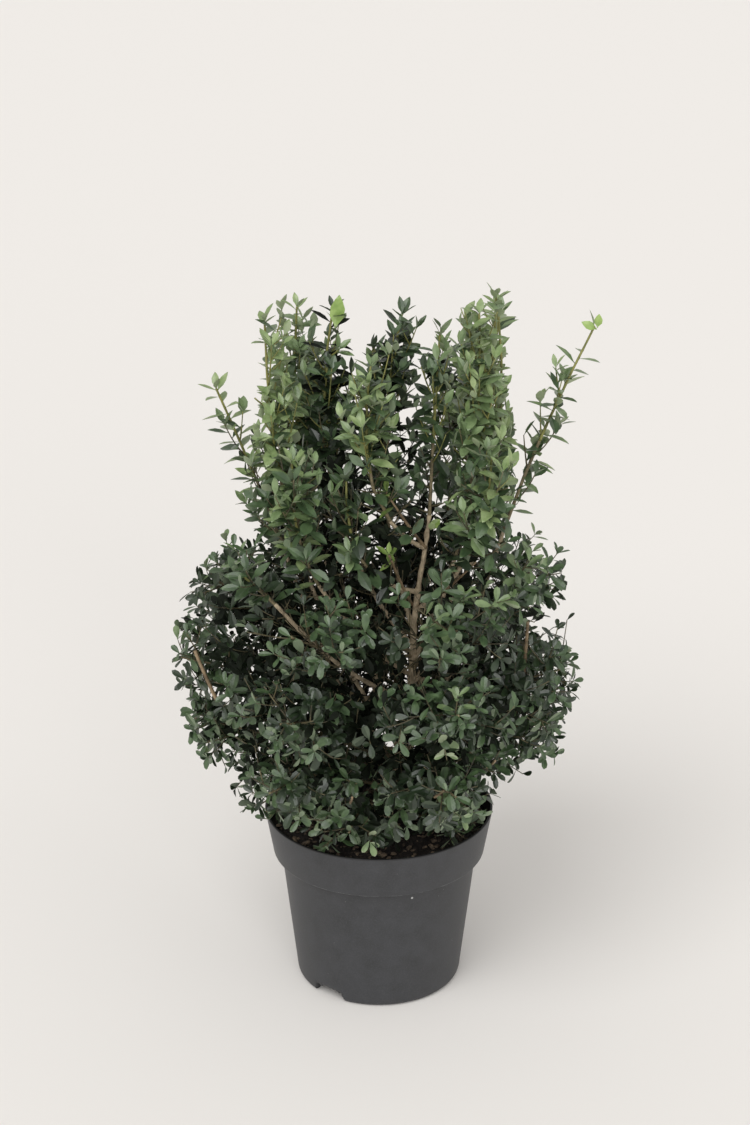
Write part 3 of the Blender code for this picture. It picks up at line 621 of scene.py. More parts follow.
class Room:
    """Tells which points keep to one mass's own space."""

    def __init__(self, boughs, masses):
        limbs = boughs + [mass.stem for mass in masses]
        trunk = trunk_line(LIMB_SAMPLES)
        self.points = np.concatenate([limb.line for limb in limbs] + [trunk])
        self.radii = np.concatenate([limb.radii for limb in limbs] + [trunk_radii(trunk)])
        self.owners = np.array([limb.name for limb in limbs for _ in limb.line] + ["trunk"] * len(trunk))
        self.near = {}
        for mass in masses:
            self.near[mass.name] = [other for other in masses if other is not mass and self.meet(mass, other)]

    def meet(self, mass, other):
        """Whether the spaces of two masses come near each other."""
        apart = distances(mass.full_line, other.full_line)
        return (apart < mass.full_reach + 1.2 * other.full_reach).any()

    def clear_of_pot(self, points):
        """True for each point that is outside the pot, or else above its rim or its soil."""
        around = np.hypot(points[:, 0], points[:, 1])
        over_rim = np.abs(around - RIM_RADIUS) < RIM_ROOM
        floor = np.where(over_rim, POT_HEIGHT + RIM_GAP, SOIL_TOP + SOIL_GAP)
        return (around > RIM_RADIUS + RIM_ROOM) | (points[:, 2] > floor)

    def clear_of_limbs(self, mass, points, gap):
        """True for each point further than the gap from the trunk, the boughs and other masses' stems."""
        apart = distances(self.points, mass.full_line[::8]).min(axis=1)
        chosen = (self.owners != mass.name) & (apart < mass.full_reach + LIMB_SEARCH)
        if not chosen.any():
            return np.ones(len(points), bool)
        gaps = distances(points, self.points[chosen]) - self.radii[chosen]
        return gaps.min(axis=1) > gap

    def keeps(self, mass, points, shares, margin, gap):
        """True for each point that is clear of the pot and of other limbs, and closer to the mass than to
        any other by the margin. shares is the method of Mass that measures how close."""
        own = shares(mass, points)
        kept = (own <= 1) & self.clear_of_pot(points)
        for other in self.near[mass.name]:
            kept &= shares(other, points) - own >= margin
        return kept & self.clear_of_limbs(mass, points, gap)


def golden_turns(count, variation, dice):
    """Turns round a limb, a golden turn apart after a random first one, each off by a little."""
    return np.arange(count) * GOLDEN_TURN + dice.uniform(0, math.tau) + variation * dice.normal(size=count)


def twig_lines(mass, room, dice):
    """The mass's first twigs, which are those of its solid: round the stem by the golden turn, and a
    little up. A narrow mass has none."""
    axes = frame_along(mass.stem.line)
    count = max(3, round(mass.length / TWIG_SPACING)) if mass.reach > LEAST_TWIG_REACH else 0
    twigs = []
    for k in range(count):
        share = mass.bare_share + (LAST_TWIG_SHARE - mass.bare_share) * (k + 0.5) / count
        place = int(share * (len(mass.stem.line) - 1))
        start = mass.stem.line[place]
        turn = k * GOLDEN_TURN + TURN_VARIATION * dice.uniform(-1, 1)
        lean = TWIG_LEAN + LEAN_VARIATION * dice.uniform(-1, 1)
        reach = np.interp(share, np.linspace(0, 1, LIMB_SAMPLES), mass.reaches)
        length = TWIG_SHARE * reach * (1 + LENGTH_VARIATION * dice.uniform(-1, 1))
        for nudge in range(4):
            heading, _ = leaning(axes, place, turn + nudge * NUDGE, lean)
            line = evenly(np.array([start, start + length * unit(heading + TWIG_RISE * UP)]), TWIG_SAMPLES)
            if room.keeps(mass, line[2:], Mass.shares, SPACE_MARGIN, LEAF_CLEARANCE).all():
                twigs.append(line)
                break
    return twigs


class Spray(NamedTuple):
    """A leafy stem or twig: its line, its radius at both ends, where its leaves begin, and its order."""

    line: np.ndarray
    radii: tuple
    first: float
    order: int


def side_sprays(mass, room, parent, shares, rule, dice):
    """Twigs between two shares of a parent by the golden turn, each one cut short where it would leave its
    mass's space. A twig's line is start + length * (t * heading + rise * t^2 * up)."""
    low, high = shares
    count = int(length_of(parent.line) * (high - low) / rule.spacing)
    if count < 1:
        return []
    share = low + (high - low) * (np.arange(count) + dice.uniform(0.2, 0.8, count)) / count
    place = (share * (len(parent.line) - 1)).astype(int)
    turn = golden_turns(count, TURN_VARIATION, dice)
    lean = np.interp(share, (0.0, 0.4), rule.leans) + LEAN_VARIATION * dice.normal(size=count)
    heading, _ = leaning(frame_along(parent.line), place, turn, lean)
    taper = 1 - (0.2 if mass.on_trunk else 0.5) * share**2
    reach = rule.size * mass.reach * taper * dice.uniform(*FINE_TWIG_SIZES, count)
    t = np.linspace(0, 1, TWIG_SAMPLES)[None, :, None]
    course = t * heading[:, None] + rule.rise * t**2 * UP
    lines = parent.line[place][:, None] + reach[:, None, None] * course
    points = lines.reshape(-1, 3)
    inside = room.keeps(mass, points, Mass.full_shares, 0.0, FINE_TWIG_CLEARANCE)
    inside &= mass.full_shares(points) < 1 - EDGE_ROOM / mass.full_reach
    inside &= in_outline(mass, points, EDGE_ROOM)
    inside = inside.reshape(count, TWIG_SAMPLES)
    inside[:, :2] = True
    kept = np.logical_and.accumulate(inside, axis=1).sum(axis=1)
    cuts = [evenly(line[:samples], TWIG_SAMPLES) for line, samples in zip(lines, kept)]
    cuts = [cut for cut in cuts if np.linalg.norm(cut[-1] - cut[0]) > LEAST_TWIG]
    radii = SECOND_TWIG_RADII if parent.order == 0 else THIRD_TWIG_RADII
    return [Spray(cut, radii, LEAF_STARTS[1], parent.order + 1) for cut in cuts]


def habit_of(mass):
    """How this mass grows: low, slim, tower or else high."""
    if mass.on_trunk:
        return LOW
    if mass.name in SLIM_MASSES:
        return SLIM
    return TOWER if mass.name in TOWER_MASSES else HIGH


def sprays_of(mass, number, room):
    """The mass's stem, its first twigs, and the finer twigs on all of them."""
    habit = habit_of(mass)
    leafy = np.linspace(0, 1, LIMB_SAMPLES) <= 1 - STEM_END / mass.length
    if mass.on_trunk:
        leafy &= in_outline(mass, mass.line, EDGE_ROOM)
    stem = Spray(evenly(mass.line[leafy], LIMB_SAMPLES), DRAWN_STEM_RADII, habit.twig_shares[0], 0)
    t = np.linspace(0, 1, TWIG_SAMPLES)[:, None]
    first = []
    for line in twig_lines(mass, room, np.random.default_rng([SEED, number])):
        bow = 0.10 * np.linalg.norm(line[-1] - line[0]) * (t**2 - t) * UP
        first.append(Spray(line + bow, FIRST_TWIG_RADII, LEAF_STARTS[0], 1))
    dice = np.random.default_rng([SEED, number, 1])
    second = side_sprays(mass, room, stem, habit.twig_shares, habit.stem_twigs, dice)
    if not mass.on_trunk and mass.name != LEADER.name:
        bough = Spray(mass.bough, DRAWN_BOUGH_RADII, 0.0, 0)
        second += side_sprays(mass, room, bough, (0.0, 1.0), BOUGH_TWIGS, dice)
    sprays = [stem] + first + second
    for spray in first + second:
        shares = (spray.first, LAST_SIDE_TWIG_SHARE)
        sprays += side_sprays(mass, room, spray, shares, habit.side_twigs, dice)
    return sprays


def parted(spray, share):
    """A spray's lower and upper parts, cut at this share of its points."""
    place = int(share * (len(spray.line) - 1))
    radius = np.interp(share, (0, 1), spray.radii)
    low = Spray(spray.line[: place + 1], (spray.radii[0], radius), spray.first, spray.order)
    high = Spray(spray.line[place:], (radius, spray.radii[1]), 0.0, spray.order)
    return low, high


class Leaves(NamedTuple):
    """Many leaves as arrays: where each is joined on, where it points and faces, its size, shape and tone."""

    base: np.ndarray
    heading: np.ndarray
    facing: np.ndarray
    length: np.ndarray
    width: np.ndarray
    shape: np.ndarray
    tone: np.ndarray

    def chosen(self, mask):
        """The leaves for which the mask is true."""
        return Leaves(*[column[mask] for column in self])


def joined(parts):
    """All the leaves of several sets, as one."""
    return Leaves(*[np.concatenate(column) for column in zip(*parts)])


def leaf_sites(spray, habit, dice):
    """Leaves round a spray by the golden turn, smaller and more upright towards its end, where they make a
    tuft. Each one's base, heading, facing and size, and how far it is from the end."""
    length = length_of(spray.line)
    count = max(2, int(length * (1 - spray.first) / habit.leaf_spacing))
    share = spray.first + (1 - spray.first) * (np.arange(count) + 0.5) / count
    share = np.concatenate([share, TUFT_SHARES])
    from_end = (1 - share) * length
    total = len(share)
    place = np.minimum((share * (len(spray.line) - 1)).astype(int), len(spray.line) - 1)
    base = points_at(share, np.linspace(0, 1, len(spray.line)), spray.line)
    turn = golden_turns(total, LEAF_TURN_VARIATION, dice)
    lean = np.interp(from_end, LEAF_LEAN_PLACES, (habit.end_lean, *LEAF_LEANS))
    lean = lean + LEAF_LEAN_VARIATION * dice.normal(size=total)
    heading, facing = leaning(frame_along(spray.line), place, turn, lean)
    heading = unit(heading + 0.08 * UP)
    facing = facing + 0.5 * UP + 0.18 * dice.normal(size=(total, 3))
    facing = unit(facing - (facing * heading).sum(1, keepdims=True) * heading)
    size = np.interp(from_end, LEAF_SIZE_PLACES, LEAF_SIZES) * dice.uniform(*LEAF_SIZE_VARIATION, total)
    return base, heading, facing, size, from_end


def in_opening(points, lines):
    """True for each point that stands before one of these limbs, as seen from the front and a little above.
    Each line comes with the half width of its opening."""
    hidden = np.zeros(len(points), bool)
    for line, half_width in lines:
        offset = points[:, None] - line[None]
        ahead = np.maximum((offset * TOWARDS_FRONT).sum(2, keepdims=True), 0)
        hidden |= (np.linalg.norm(offset - ahead * TOWARDS_FRONT, axis=2) < half_width).any(axis=1)
    return hidden


def in_low_crown(points, inset):
    """True for each point this far inside the lower crown's round outline, which reaches less far to the left
    than to the right at some heights. The radius at an azimuth lies between the two, by its cosine."""
    around = np.hypot(points[:, 0], points[:, 1])
    rightward = 0.5 + 0.5 * points[:, 0] / np.maximum(around, MM)
    left = np.interp(points[:, 2], LOW_CROWN_HEIGHTS, LOW_CROWN_LEFT)
    right = np.interp(points[:, 2], LOW_CROWN_HEIGHTS, LOW_CROWN_RIGHT)
    return around < left + (right - left) * rightward - inset


def in_high_crown(points, inset):
    """True for each point this far inside the upper crown's left and right edges at its height."""
    left = np.interp(points[:, 2], HIGH_CROWN_HEIGHTS, HIGH_CROWN_LEFT)
    right = np.interp(points[:, 2], HIGH_CROWN_HEIGHTS, HIGH_CROWN_RIGHT)
    return (points[:, 0] > inset - left) & (points[:, 0] < right - inset)


def crown_share(points):
    """How far out each point lies, as a share of the crown's radius at its height."""
    around = np.hypot(points[:, 0] - RING_MIDDLE[0], points[:, 1])
    return around / np.interp(points[:, 2], CROWN_HEIGHTS, CROWN_RADII)


def in_outline(mass, points, inset):
    """True for each point this far inside the CAD box and the crown's outline round this mass."""
    low, high = np.array(CAD_BOX)
    inside = ((points > low + BOX_ROOM + 0.5 * inset) & (points < high - BOX_ROOM - 0.5 * inset)).all(axis=1)
    if mass.on_trunk:
        return inside & in_low_crown(points, inset)
    if mass.name in SLIM_MASSES:
        return inside
    return inside & in_high_crown(points, inset)


def leaf_cover(base, heading, facing, length, width):
    """Five points on each leaf: two along its middle, its tip and its two sides."""
    side = np.cross(heading, facing)
    reach = length[:, None]
    half = width[:, None] / 2
    middle = base + 0.55 * reach * heading
    low, tip = base + 0.3 * reach * heading, base + reach * heading
    return np.stack([middle, low, tip, middle - half * side, middle + half * side], 1)


def leaves_of(mass, sprays, number, room, spray_tones, opening):
    """All the leaves of a mass that keep to its space and to the height and width of the solids."""
    dice = np.random.default_rng([SEED, number, 2])
    habit = habit_of(mass)
    parts = []
    for spray, tone in zip(sprays, spray_tones):
        base, heading, facing, size, from_end = leaf_sites(spray, habit, dice)
        length = habit.leaf_length * size
        width = habit.leaf_width * size * dice.uniform(0.9, 1.15, len(size))
        shape = np.full(len(size), habit.leaf_shape)
        fresh_end = (from_end < FRESH_END) & (base[:, 2] > FRESH_HEIGHT)
        tones = np.where(fresh_end & (tone < len(TONES) - 2), tone + 1, tone)
        parts.append((base, heading, facing, length, width, shape, tones))
    leaves = joined(parts)
    leaves = leaves.chosen(crown_share(leaves.base) > np.interp(leaves.base[:, 2], CROWN_HEIGHTS, BARE_CORE))
    cover = leaf_cover(*leaves[:5]).reshape(-1, 3)
    kept = room.keeps(mass, cover, Mass.full_shares, 0.0, FINE_LEAF_CLEARANCE) & in_outline(mass, cover, 0.0)
    return leaves.chosen(kept.reshape(-1, 5).all(axis=1) & ~in_opening(cover[::5], opening))


def wavy(points, size, seed):
    """A smooth uneven number about 0 at each point: the sum of 24 sine waves of about this wavelength,
    each in its own direction, scaled to a spread of 1."""
    dice = np.random.default_rng(seed)
    ways = unit(dice.normal(size=(24, 3))) * math.tau / (size * dice.uniform(0.7, 1.4, (24, 1)))
    return np.sin(points @ ways.T + dice.uniform(0, math.tau, 24)).sum(-1) / math.sqrt(12)


def grid_faces(rows, columns, closed):
    """The corners of the quads of a grid of points, row by row, joined up across its columns if closed."""
    row = np.arange(rows - 1)[:, None] * columns
    column = np.arange(columns if closed else columns - 1)[None]
    after = (column + 1) % columns
    corners = [row + column, row + after, row + columns + after, row + columns + column]
    return np.stack(corners, -1).reshape(-1, 4)


def repeated(faces, count, step):
    """The same faces for each of many copies of a shape that has step points."""
    return (np.arange(count)[:, None, None] * step + faces[None]).reshape(-1, faces.shape[1])


def flipped(face_sets):
    """The same faces, turned to face the other way."""
    return [faces[:, ::-1] for faces in face_sets]


def turned(radii, heights, turn):
    """Rings round the axis: the points with these radii and heights, at each angle."""
    across = radii[:, None]
    points = [across * np.cos(turn), across * np.sin(turn), np.broadcast_to(heights, (1, len(radii))).T]
    return np.stack(np.broadcast_arrays(*points), -1)


def placed(name, data):
    """A new object in the scene."""
    thing = bpy.data.objects.new(name, data)
    bpy.context.scene.collection.objects.link(thing)
    return thing


def add_piece(name, points, face_sets, material, nodes, sharp=None, smooth=True):
    """A piece from its points and its sets of faces. sharp picks the edges that stay crisp, by their ends."""
    mesh = bpy.data.meshes.new(name)
    faces = [face for part in face_sets for face in part.tolist()]
    mesh.from_pydata(points.reshape(-1, 3).tolist(), [], faces)
    mesh.polygons.foreach_set("use_smooth", np.full(len(mesh.polygons), smooth))
    if sharp is not None:
        ends = np.empty(len(mesh.edges) * 2, np.int32)
        mesh.edges.foreach_get("vertices", ends)
        crisp = mesh.attributes.new("sharp_edge", "BOOLEAN", "EDGE")
        crisp.data.foreach_set("value", sharp(ends.reshape(-1, 2)))
    mesh.materials.append(material)
    mesh.update()
    piece = placed(name, mesh)
    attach(piece, "root")
    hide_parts(*nodes)


def tubes(lines, radii, sides):
    """Round tubes along many lines of as many points: a circle in the plane across each point's heading."""
    along = unit(np.gradient(lines, axis=1))
    chord = unit(lines[:, -1] - lines[:, 0])
    level = np.where(np.abs(chord[:, 2:]) < 0.9, UP, np.array([1.0, 0.0, 0.0]))
    side = unit(np.cross(along, level[:, None]))
    front = np.cross(along, side)
    turn = np.arange(sides) * math.tau / sides
    circle = np.cos(turn)[:, None] * side[:, :, None] + np.sin(turn)[:, None] * front[:, :, None]
    return lines[:, :, None] + radii[:, :, None, None] * circle


def tube_faces(count, rows, sides):
    """The walls and the two end caps of many tubes."""
    walls = repeated(grid_faces(rows, sides, True), count, rows * sides)[:, ::-1]
    foot = repeated(np.arange(sides)[None], count, rows * sides)
    tip = foot[:, ::-1] + (rows - 1) * sides
    return [walls, foot, tip]


def leaf_bodies(leaves):
    """Leaf blades, each one a thin lens: a section of four points carried along the middle line
    base + length * (u * heading - bow * u^2 * facing), as wide at u as LEAF_SHAPES says there."""
    u = np.array(LEAF_PLACES)[None, :, None]
    section_across, section_up = np.array(LEAF_SECTION).T
    dice = np.random.default_rng([SEED, 3])
    count = len(leaves.base)
    bow = dice.normal(0.10, 0.05, count)[:, None, None]
    fold = dice.uniform(0.6, 1.6, count)[:, None, None]
    side = np.cross(leaves.heading, leaves.facing)
    course = u * leaves.heading[:, None] - bow * u**2 * leaves.facing[:, None]
    middle = leaves.base[:, None] + leaves.length[:, None, None] * course
    half = leaves.width[:, None, None] / 2 * np.array(LEAF_SHAPES)[leaves.shape][..., None]
    across = half * section_across
    height = half * section_up
    height = np.where(section_up > 0, height * fold, np.minimum(height, -0.12 * MM * (section_up < 0)))
    across, height = across[..., None] * side[:, None, None], height[..., None] * leaves.facing[:, None, None]
    return middle[:, :, None] + across + height


def leaf_edges(ends):
    """True for an edge along a leaf's margin or its midrib."""
    place = ends % len(LEAF_SECTION)
    return (place[:, 0] == place[:, 1]) & (place[:, 0] != 3)


def maths(operation, reflected=False):
    """A method that adds a Math node, with the numbers the other way round for a reflected operator."""

    def method(self, other):
        first, second = (other, self) if reflected else (self, other)
        return self.finish.node("ShaderNodeMath", {"operation": operation}, {0: first, 1: second})

    return method


class Value:
    """A node's output in a shader. Arithmetic on it adds Math nodes."""

    def __init__(self, finish, node, output):
        self.finish = finish
        self.node = node
        self.socket = node.outputs[output]

    __add__ = __radd__ = maths("ADD")
    __mul__ = __rmul__ = maths("MULTIPLY")
    __sub__ = maths("SUBTRACT")
    __rsub__ = maths("SUBTRACT", reflected=True)
    __pow__ = maths("POWER")

    def apart(self):
        """The number without its sign."""
        return maths("ABSOLUTE")(self, 0.0)

    def between(self, low, high):
        """0 below low, 1 above high, and a straight rise between them."""
        sockets = {"Value": self, "From Min": low, "From Max": high}
        return self.finish.node("ShaderNodeMapRange", {"clamp": True}, sockets)


class Finish:
    """A material with one Principled shader."""

    def __init__(self, name):
        self.material = bpy.data.materials.new(name)
        self.material.use_nodes = True
        self.tree = self.material.node_tree
        self.tree.nodes.clear()
        self.shader = self.node("ShaderNodeBsdfPrincipled", {}, {})
        output = self.tree.nodes.new("ShaderNodeOutputMaterial")
        self.tree.links.new(self.shader.socket, output.inputs[0])

    def node(self, kind, settings, sockets, output=0):
        """One output of a new node, with its settings first and then its sockets' values or links."""
        node = self.tree.nodes.new(kind)
        for name, setting in settings.items():
            setattr(node, name, setting)
        self.fill(node, sockets)
        return Value(self, node, output)

    def fill(self, node, sockets):
        """Gives each named input of a node its value or its link."""
        for name, given in sockets.items():
            if isinstance(given, Value):
                self.tree.links.new(given.socket, node.inputs[name])
            else:
                node.inputs[name].default_value = given

    def set(self, **sockets):
        """Gives the shader's inputs their values or links."""
        self.fill(self.shader.node, {name.replace("_", " "): given for name, given in sockets.items()})

    def place(self):
        return self.node("ShaderNodeTexCoord", {}, {}, "Object")

    def split(self, vector):
        """The three numbers of a vector."""
        node = self.node("ShaderNodeSeparateXYZ", {}, {0: vector}).node
        return [Value(self, node, k) for k in range(3)]

    def stretched(self, vector, sizes):
        return self.node("ShaderNodeVectorMath", {"operation": "MULTIPLY"}, {0: vector, 1: sizes})

    def noise(self, scale, detail=3.0, roughness=0.6, vector=None):
        vector = vector or self.place()
        sockets = {"Vector": vector, "Scale": scale, "Detail": detail, "Roughness": roughness}
        return self.node("ShaderNodeTexNoise", {}, sockets)

    def mix(self, share, first, second):
        """A colour from first at share 0 to second at share 1."""
        sockets = {0: share, 6: first, 7: second}
        return self.node("ShaderNodeMix", {"data_type": "RGBA", "clamp_factor": True}, sockets, 2)

    def bump(self, height, distance, strength=1.0):
        sockets = {"Height": height, "Distance": distance, "Strength": strength}
        return self.node("ShaderNodeBump", {}, sockets)


def colour(red, green, blue):
    """A shader colour from the numbers 0 to 255 that a picture has."""
    parts = [part / 255 for part in (red, green, blue)]
    return (*[part / 12.92 if part < 0.04045 else ((part + 0.055) / 1.055) ** 2.4 for part in parts], 1.0)


def leaf_finish(tone):
    """A leaf's waxy green: two greens that change from leaf to leaf, and a paler, duller underside."""
    finish = Finish("leaf_" + tone.name)
    upwards = finish.split(finish.node("ShaderNodeNewGeometry", {}, {}, "Normal"))[2]
    top = finish.mix(finish.noise(95.0, 2.0).between(0.35, 0.65), colour(*tone.deep), colour(*tone.bright))
    dullness = upwards.between(-0.1, 0.1) * -0.22 + (tone.roughness + 0.22)
    finish.set(
        Base_Color=finish.mix(upwards.between(-0.15, -0.02), colour(*tone.under), top),
        Roughness=dullness + finish.noise(260.0) * 0.1,
        Normal=finish.bump(finish.noise(900.0, 2.0), 0.15 * MM, 0.5),
        Specular_IOR_Level=tone.gloss,
    )
    return finish.material


def bark_finish(name, dark, light):
    """Bark: brown that changes along the limb, darker in fine cracks, rough."""
    finish = Finish(name)
    patches = finish.noise(140.0, 4.0)
    cracks = finish.noise(1.0, 4.0, 0.7, finish.stretched(finish.place(), (1100.0, 1100.0, 160.0)))
    share = (patches * 0.6 + cracks * 0.5).between(0.38, 0.72)
    finish.set(
        Base_Color=finish.mix(share, colour(*dark), colour(*light)),
        Roughness=cracks * 0.25 + 0.62,
        Normal=finish.bump(cracks, 0.4 * MM, 0.7),
    )
    return finish.material


def grained_finish(name, dark, light, patches, edges, dullness, grain, depth, strength=1.0):
    """Patches of two colours, with an uneven dullness and a fine grain. patches and grain are noises, the
    edges are where patches turn dark and light, and dullness is a noise's scale and the least roughness."""
    finish = Finish(name)
    finish.set(
        Base_Color=finish.mix(finish.noise(*patches).between(*edges), colour(*dark), colour(*light)),
        Roughness=finish.noise(dullness[0]) * 0.2 + dullness[1],
        Normal=finish.bump(finish.noise(*grain), depth, strength),
    )
    return finish.material


def twig_finish(name, dark, light):
    """Thin bark in soft patches, with a fine grain."""
    edges, dullness = (0.35, 0.65), (300.0, 0.45)
    return grained_finish(name, dark, light, (70.0, 3.0), edges, dullness, (1200.0,), 0.15 * MM, 0.5)


def plastic_finish():
    """Blow-moulded pot plastic: charcoal, faintly mottled, with a fine grain, a near-black band at the lip
    and painted shade, near black, on the collar's inside, a pale band along the collar's foot that is partly
    rubbed wear and partly a painted highlight on its edge, and specked in a few places."""
    finish = Finish("pot_plastic")
    x, y, z = finish.split(finish.place())
    mottle = finish.noise(55.0, 4.0)
    grain = finish.noise(1500.0, 2.0)
    edge_gap = (z - (BODY_TOP + 0.4 * MM)).apart()
    # partly rubbed wear and partly a painted highlight: a pale band where the collar's foot edge catches
    # light, broken up by noise
    rub_and_highlight = (1 - edge_gap.between(0.3 * MM, 1.1 * MM)) * finish.noise(60.0, 5.0, 0.7).between(0.45, 0.62)
    across, behind, above = x - SPECK_PLACE[0], y - SPECK_PLACE[1], z - SPECK_PLACE[2]
    from_speck = (across * across + behind * behind + above * above) ** 0.5
    layers = (
        (finish.noise(650.0, 3.0).between(0.45, 0.75) * 0.35, (70, 72, 75)),
        (grain.between(0.62, 0.75) * 0.35, (88, 90, 93)),
        # the pale colour of the rubbed wear and painted highlight at the collar's foot
        (rub_and_highlight * 0.45, (120, 121, 122)),
        (finish.noise(420.0, 1.0).between(0.80, 0.84) * 0.7, (175, 176, 176)),
        (1 - from_speck.between(0.8 * MM, 1.4 * MM), (168, 169, 168)),
    )
    body = finish.mix(mottle.between(0.3, 0.7), colour(41, 42, 44), colour(53, 54, 57))
    for share, paint in layers:
        body = finish.mix(share, body, colour(*paint))
    lip = z.between(POT_HEIGHT - 1.6 * MM, POT_HEIGHT - 0.9 * MM)
    # Painted shade: the collar's inner wall, above the body's top, is drawn near black.
    around = (x * x + y * y) ** 0.5
    up_collar = z.between(BODY_TOP, POT_HEIGHT)
    inner_wall = up_collar * (RIM_RADIUS - COLLAR_FOOT_RADIUS) + (COLLAR_FOOT_RADIUS - 1.1 * MM)
    outside = (around - inner_wall).between(-0.2 * MM, 0.2 * MM)
    inside = (1 - outside) * z.between(BODY_TOP + 1.5 * MM, BODY_TOP + 1.7 * MM)
    finish.set(
        # near black for the band at the lip and for the painted shade inside the collar
        Base_Color=finish.mix(inside + lip, body, colour(22, 22, 23)),
        Roughness=mottle * 0.16 + 0.42,
        Normal=finish.bump(grain * 0.6 + finish.noise(420.0, 3.0) * 0.5, 0.12 * MM, 0.6),
    )
    return finish.material


def soil_finish():
    """Damp potting soil: near black with brown crumbs."""
    patches, grain = (420.0, 5.0, 0.7), (900.0, 5.0, 0.75)
    colours = (18, 15, 12), (48, 38, 30)
    return grained_finish("potting_soil", *colours, patches, (0.42, 0.68), (200.0, 0.75), grain, 0.9 * MM)


def chip_finish():
    """Chips of bark, from dark to pale brown."""
    patches, grain = (110.0, 4.0), (800.0, 4.0)
    colours = (50, 42, 34), (132, 115, 95)
    return grained_finish("bark_chips", *colours, patches, (0.38, 0.66), (300.0, 0.7), grain, 0.4 * MM)


def rounded(corners, steps):
    """An outline with each (radius, height, rounding) corner turned into a short arc."""
    outline = []
    for k, (radius, height, rounding) in enumerate(corners):
        here = np.array([radius, height])
        if not rounding:
            outline.append(here)
            continue
        before = unit(np.array(corners[k - 1][:2]) - here)
        after = unit(np.array(corners[k + 1][:2]) - here)
        half = math.acos(np.clip(before @ after, -1, 1)) / 2
        reach = rounding / math.tan(half)
        start, end = here + before * reach, here + after * reach
        for t in np.linspace(0, 1, steps):
            outline.append((1 - t) ** 2 * start + 2 * t * (1 - t) * here + t**2 * end)
    return np.array(outline)


def wall_radius(height):
    """The body's outer radius, which grows evenly from its foot to its top."""
    return FOOT_RADIUS + (BODY_TOP_RADIUS - FOOT_RADIUS) * height / BODY_TOP


def collar_inside(height):
    """The collar's inner radius, which grows evenly from its foot to the lip."""
    low, high = COLLAR_FOOT_RADIUS - POT_WALL, RIM_RADIUS - LIP_WIDTH
    share = (height - BODY_TOP - POT_WALL) / (COLLAR_HEIGHT - POT_WALL)
    return low + (high - low) * share


def pot_outline():
    """The pot's half section, from the middle of its underside, round the lip, to the middle of its floor."""
    boss, inner, outer = CHANNEL_RADII
    land = FOOT_RADIUS - FOOT_ROUNDING - FOOT_LAND_WIDTH / 2
    high = CHANNEL_HEIGHT + POT_WALL
    soft = 0.6 * MM
    corners = [
        (0.4 * MM, 0.0, 0.0),
        (boss, 0.0, soft),
        (inner, CHANNEL_HEIGHT, soft),
        (outer, CHANNEL_HEIGHT, soft),
        (land, 0.0, soft),
        (FOOT_RADIUS, 0.0, FOOT_ROUNDING),
        (wall_radius(14 * MM), 14 * MM, 0.0),
        (wall_radius(18 * MM), 18 * MM, 0.0),
        (wall_radius(0.35 * BODY_TOP), 0.35 * BODY_TOP, 0.0),
        (wall_radius(0.7 * BODY_TOP), 0.7 * BODY_TOP, 0.0),
        (BODY_TOP_RADIUS, BODY_TOP, 1.5 * MM),
        (COLLAR_FOOT_RADIUS, BODY_TOP, 1.2 * MM),
        (RIM_RADIUS - 0.9 * MM, POT_HEIGHT - 5 * MM, 0.0),
        (RIM_RADIUS, POT_HEIGHT, 0.9 * MM),
        (RIM_RADIUS - LIP_WIDTH, POT_HEIGHT, 0.9 * MM),
        (COLLAR_FOOT_RADIUS - POT_WALL, BODY_TOP + POT_WALL, soft),
        (BODY_TOP_RADIUS - POT_WALL, BODY_TOP + POT_WALL, soft),
        (wall_radius(high) - POT_WALL, high, soft),
        (inner - POT_WALL, high, soft),
        (boss - POT_WALL, POT_WALL, soft),
        (0.4 * MM, POT_WALL, 0.0),
    ]
    return rounded(corners, 6)


def notch_height(points):
    """How high the bite out of the foot reaches over each point, by its place across the bite."""
    outward = np.array([math.cos(NOTCH_AZIMUTH), math.sin(NOTCH_AZIMUTH), 0.0])
    across = np.array([-outward[1], outward[0], 0.0])
    place = points @ across / NOTCH_WIDTH + 0.5
    torn = 0.35 * MM * wavy(points * (1, 1, 0), 3 * MM, 5)
    height = np.interp(place, NOTCH_PLACES, NOTCH_HEIGHTS)
    inside = (points @ outward > 0) & (np.hypot(points[..., 0], points[..., 1]) > CHANNEL_RADII[2] - 2 * MM)
    return np.where(inside & (height > 0), height + torn * np.clip(height / (4 * MM), 0, 1), 0.0)


def make_pot():
    """The pot: its half section turned round the axis, with the foot's points raised to the bite's edge."""
    near = NOTCH_AZIMUTH + np.linspace(-0.30, 0.30, 140)
    turn = np.unique(np.round(np.concatenate([np.linspace(0, math.tau, 240, endpoint=False), near]), 6))
    outline = pot_outline()
    points = turned(outline[:, 0], outline[:, 1], turn)
    low = points[..., 2] < CHANNEL_HEIGHT - 1 * MM
    outer = np.arange(len(outline))[:, None] < len(outline) // 2
    height = np.where(low & outer, np.maximum(points[..., 2], notch_height(points)), points[..., 2])
    points[..., 2] = height
    faces = flipped(tube_faces(1, *height.shape))
    add_piece("pot_shell", points, faces, plastic_finish(), ["pot"])


def make_soil():
    """Soil: a disc whose top is heaped by waves of three sizes, with its side a little inside the pot."""
    radii = (collar_inside(SOIL_TOP) - GAP) * np.concatenate([np.linspace(0.004, 1, 75), [1.0]])
    points = turned(radii, SOIL_TOP, np.linspace(0, math.tau, 200, endpoint=False))
    heap = 1.1 * MM * wavy(points, 26 * MM, 11)
    heap += 0.9 * MM * np.abs(wavy(points, 8 * MM, 12)) + 0.5 * MM * wavy(points, 3 * MM, 13)
    fade = np.clip((radii - 9 * MM) / (8 * MM), 0, 1)[:, None]
    points[..., 2] += (heap - 0.6 * MM) * fade
    points[-1, :, 2] = SOIL_TOP - 12 * MM
    add_piece("soil_top", points, tube_faces(1, *heap.shape), soil_finish(), ["soil"])


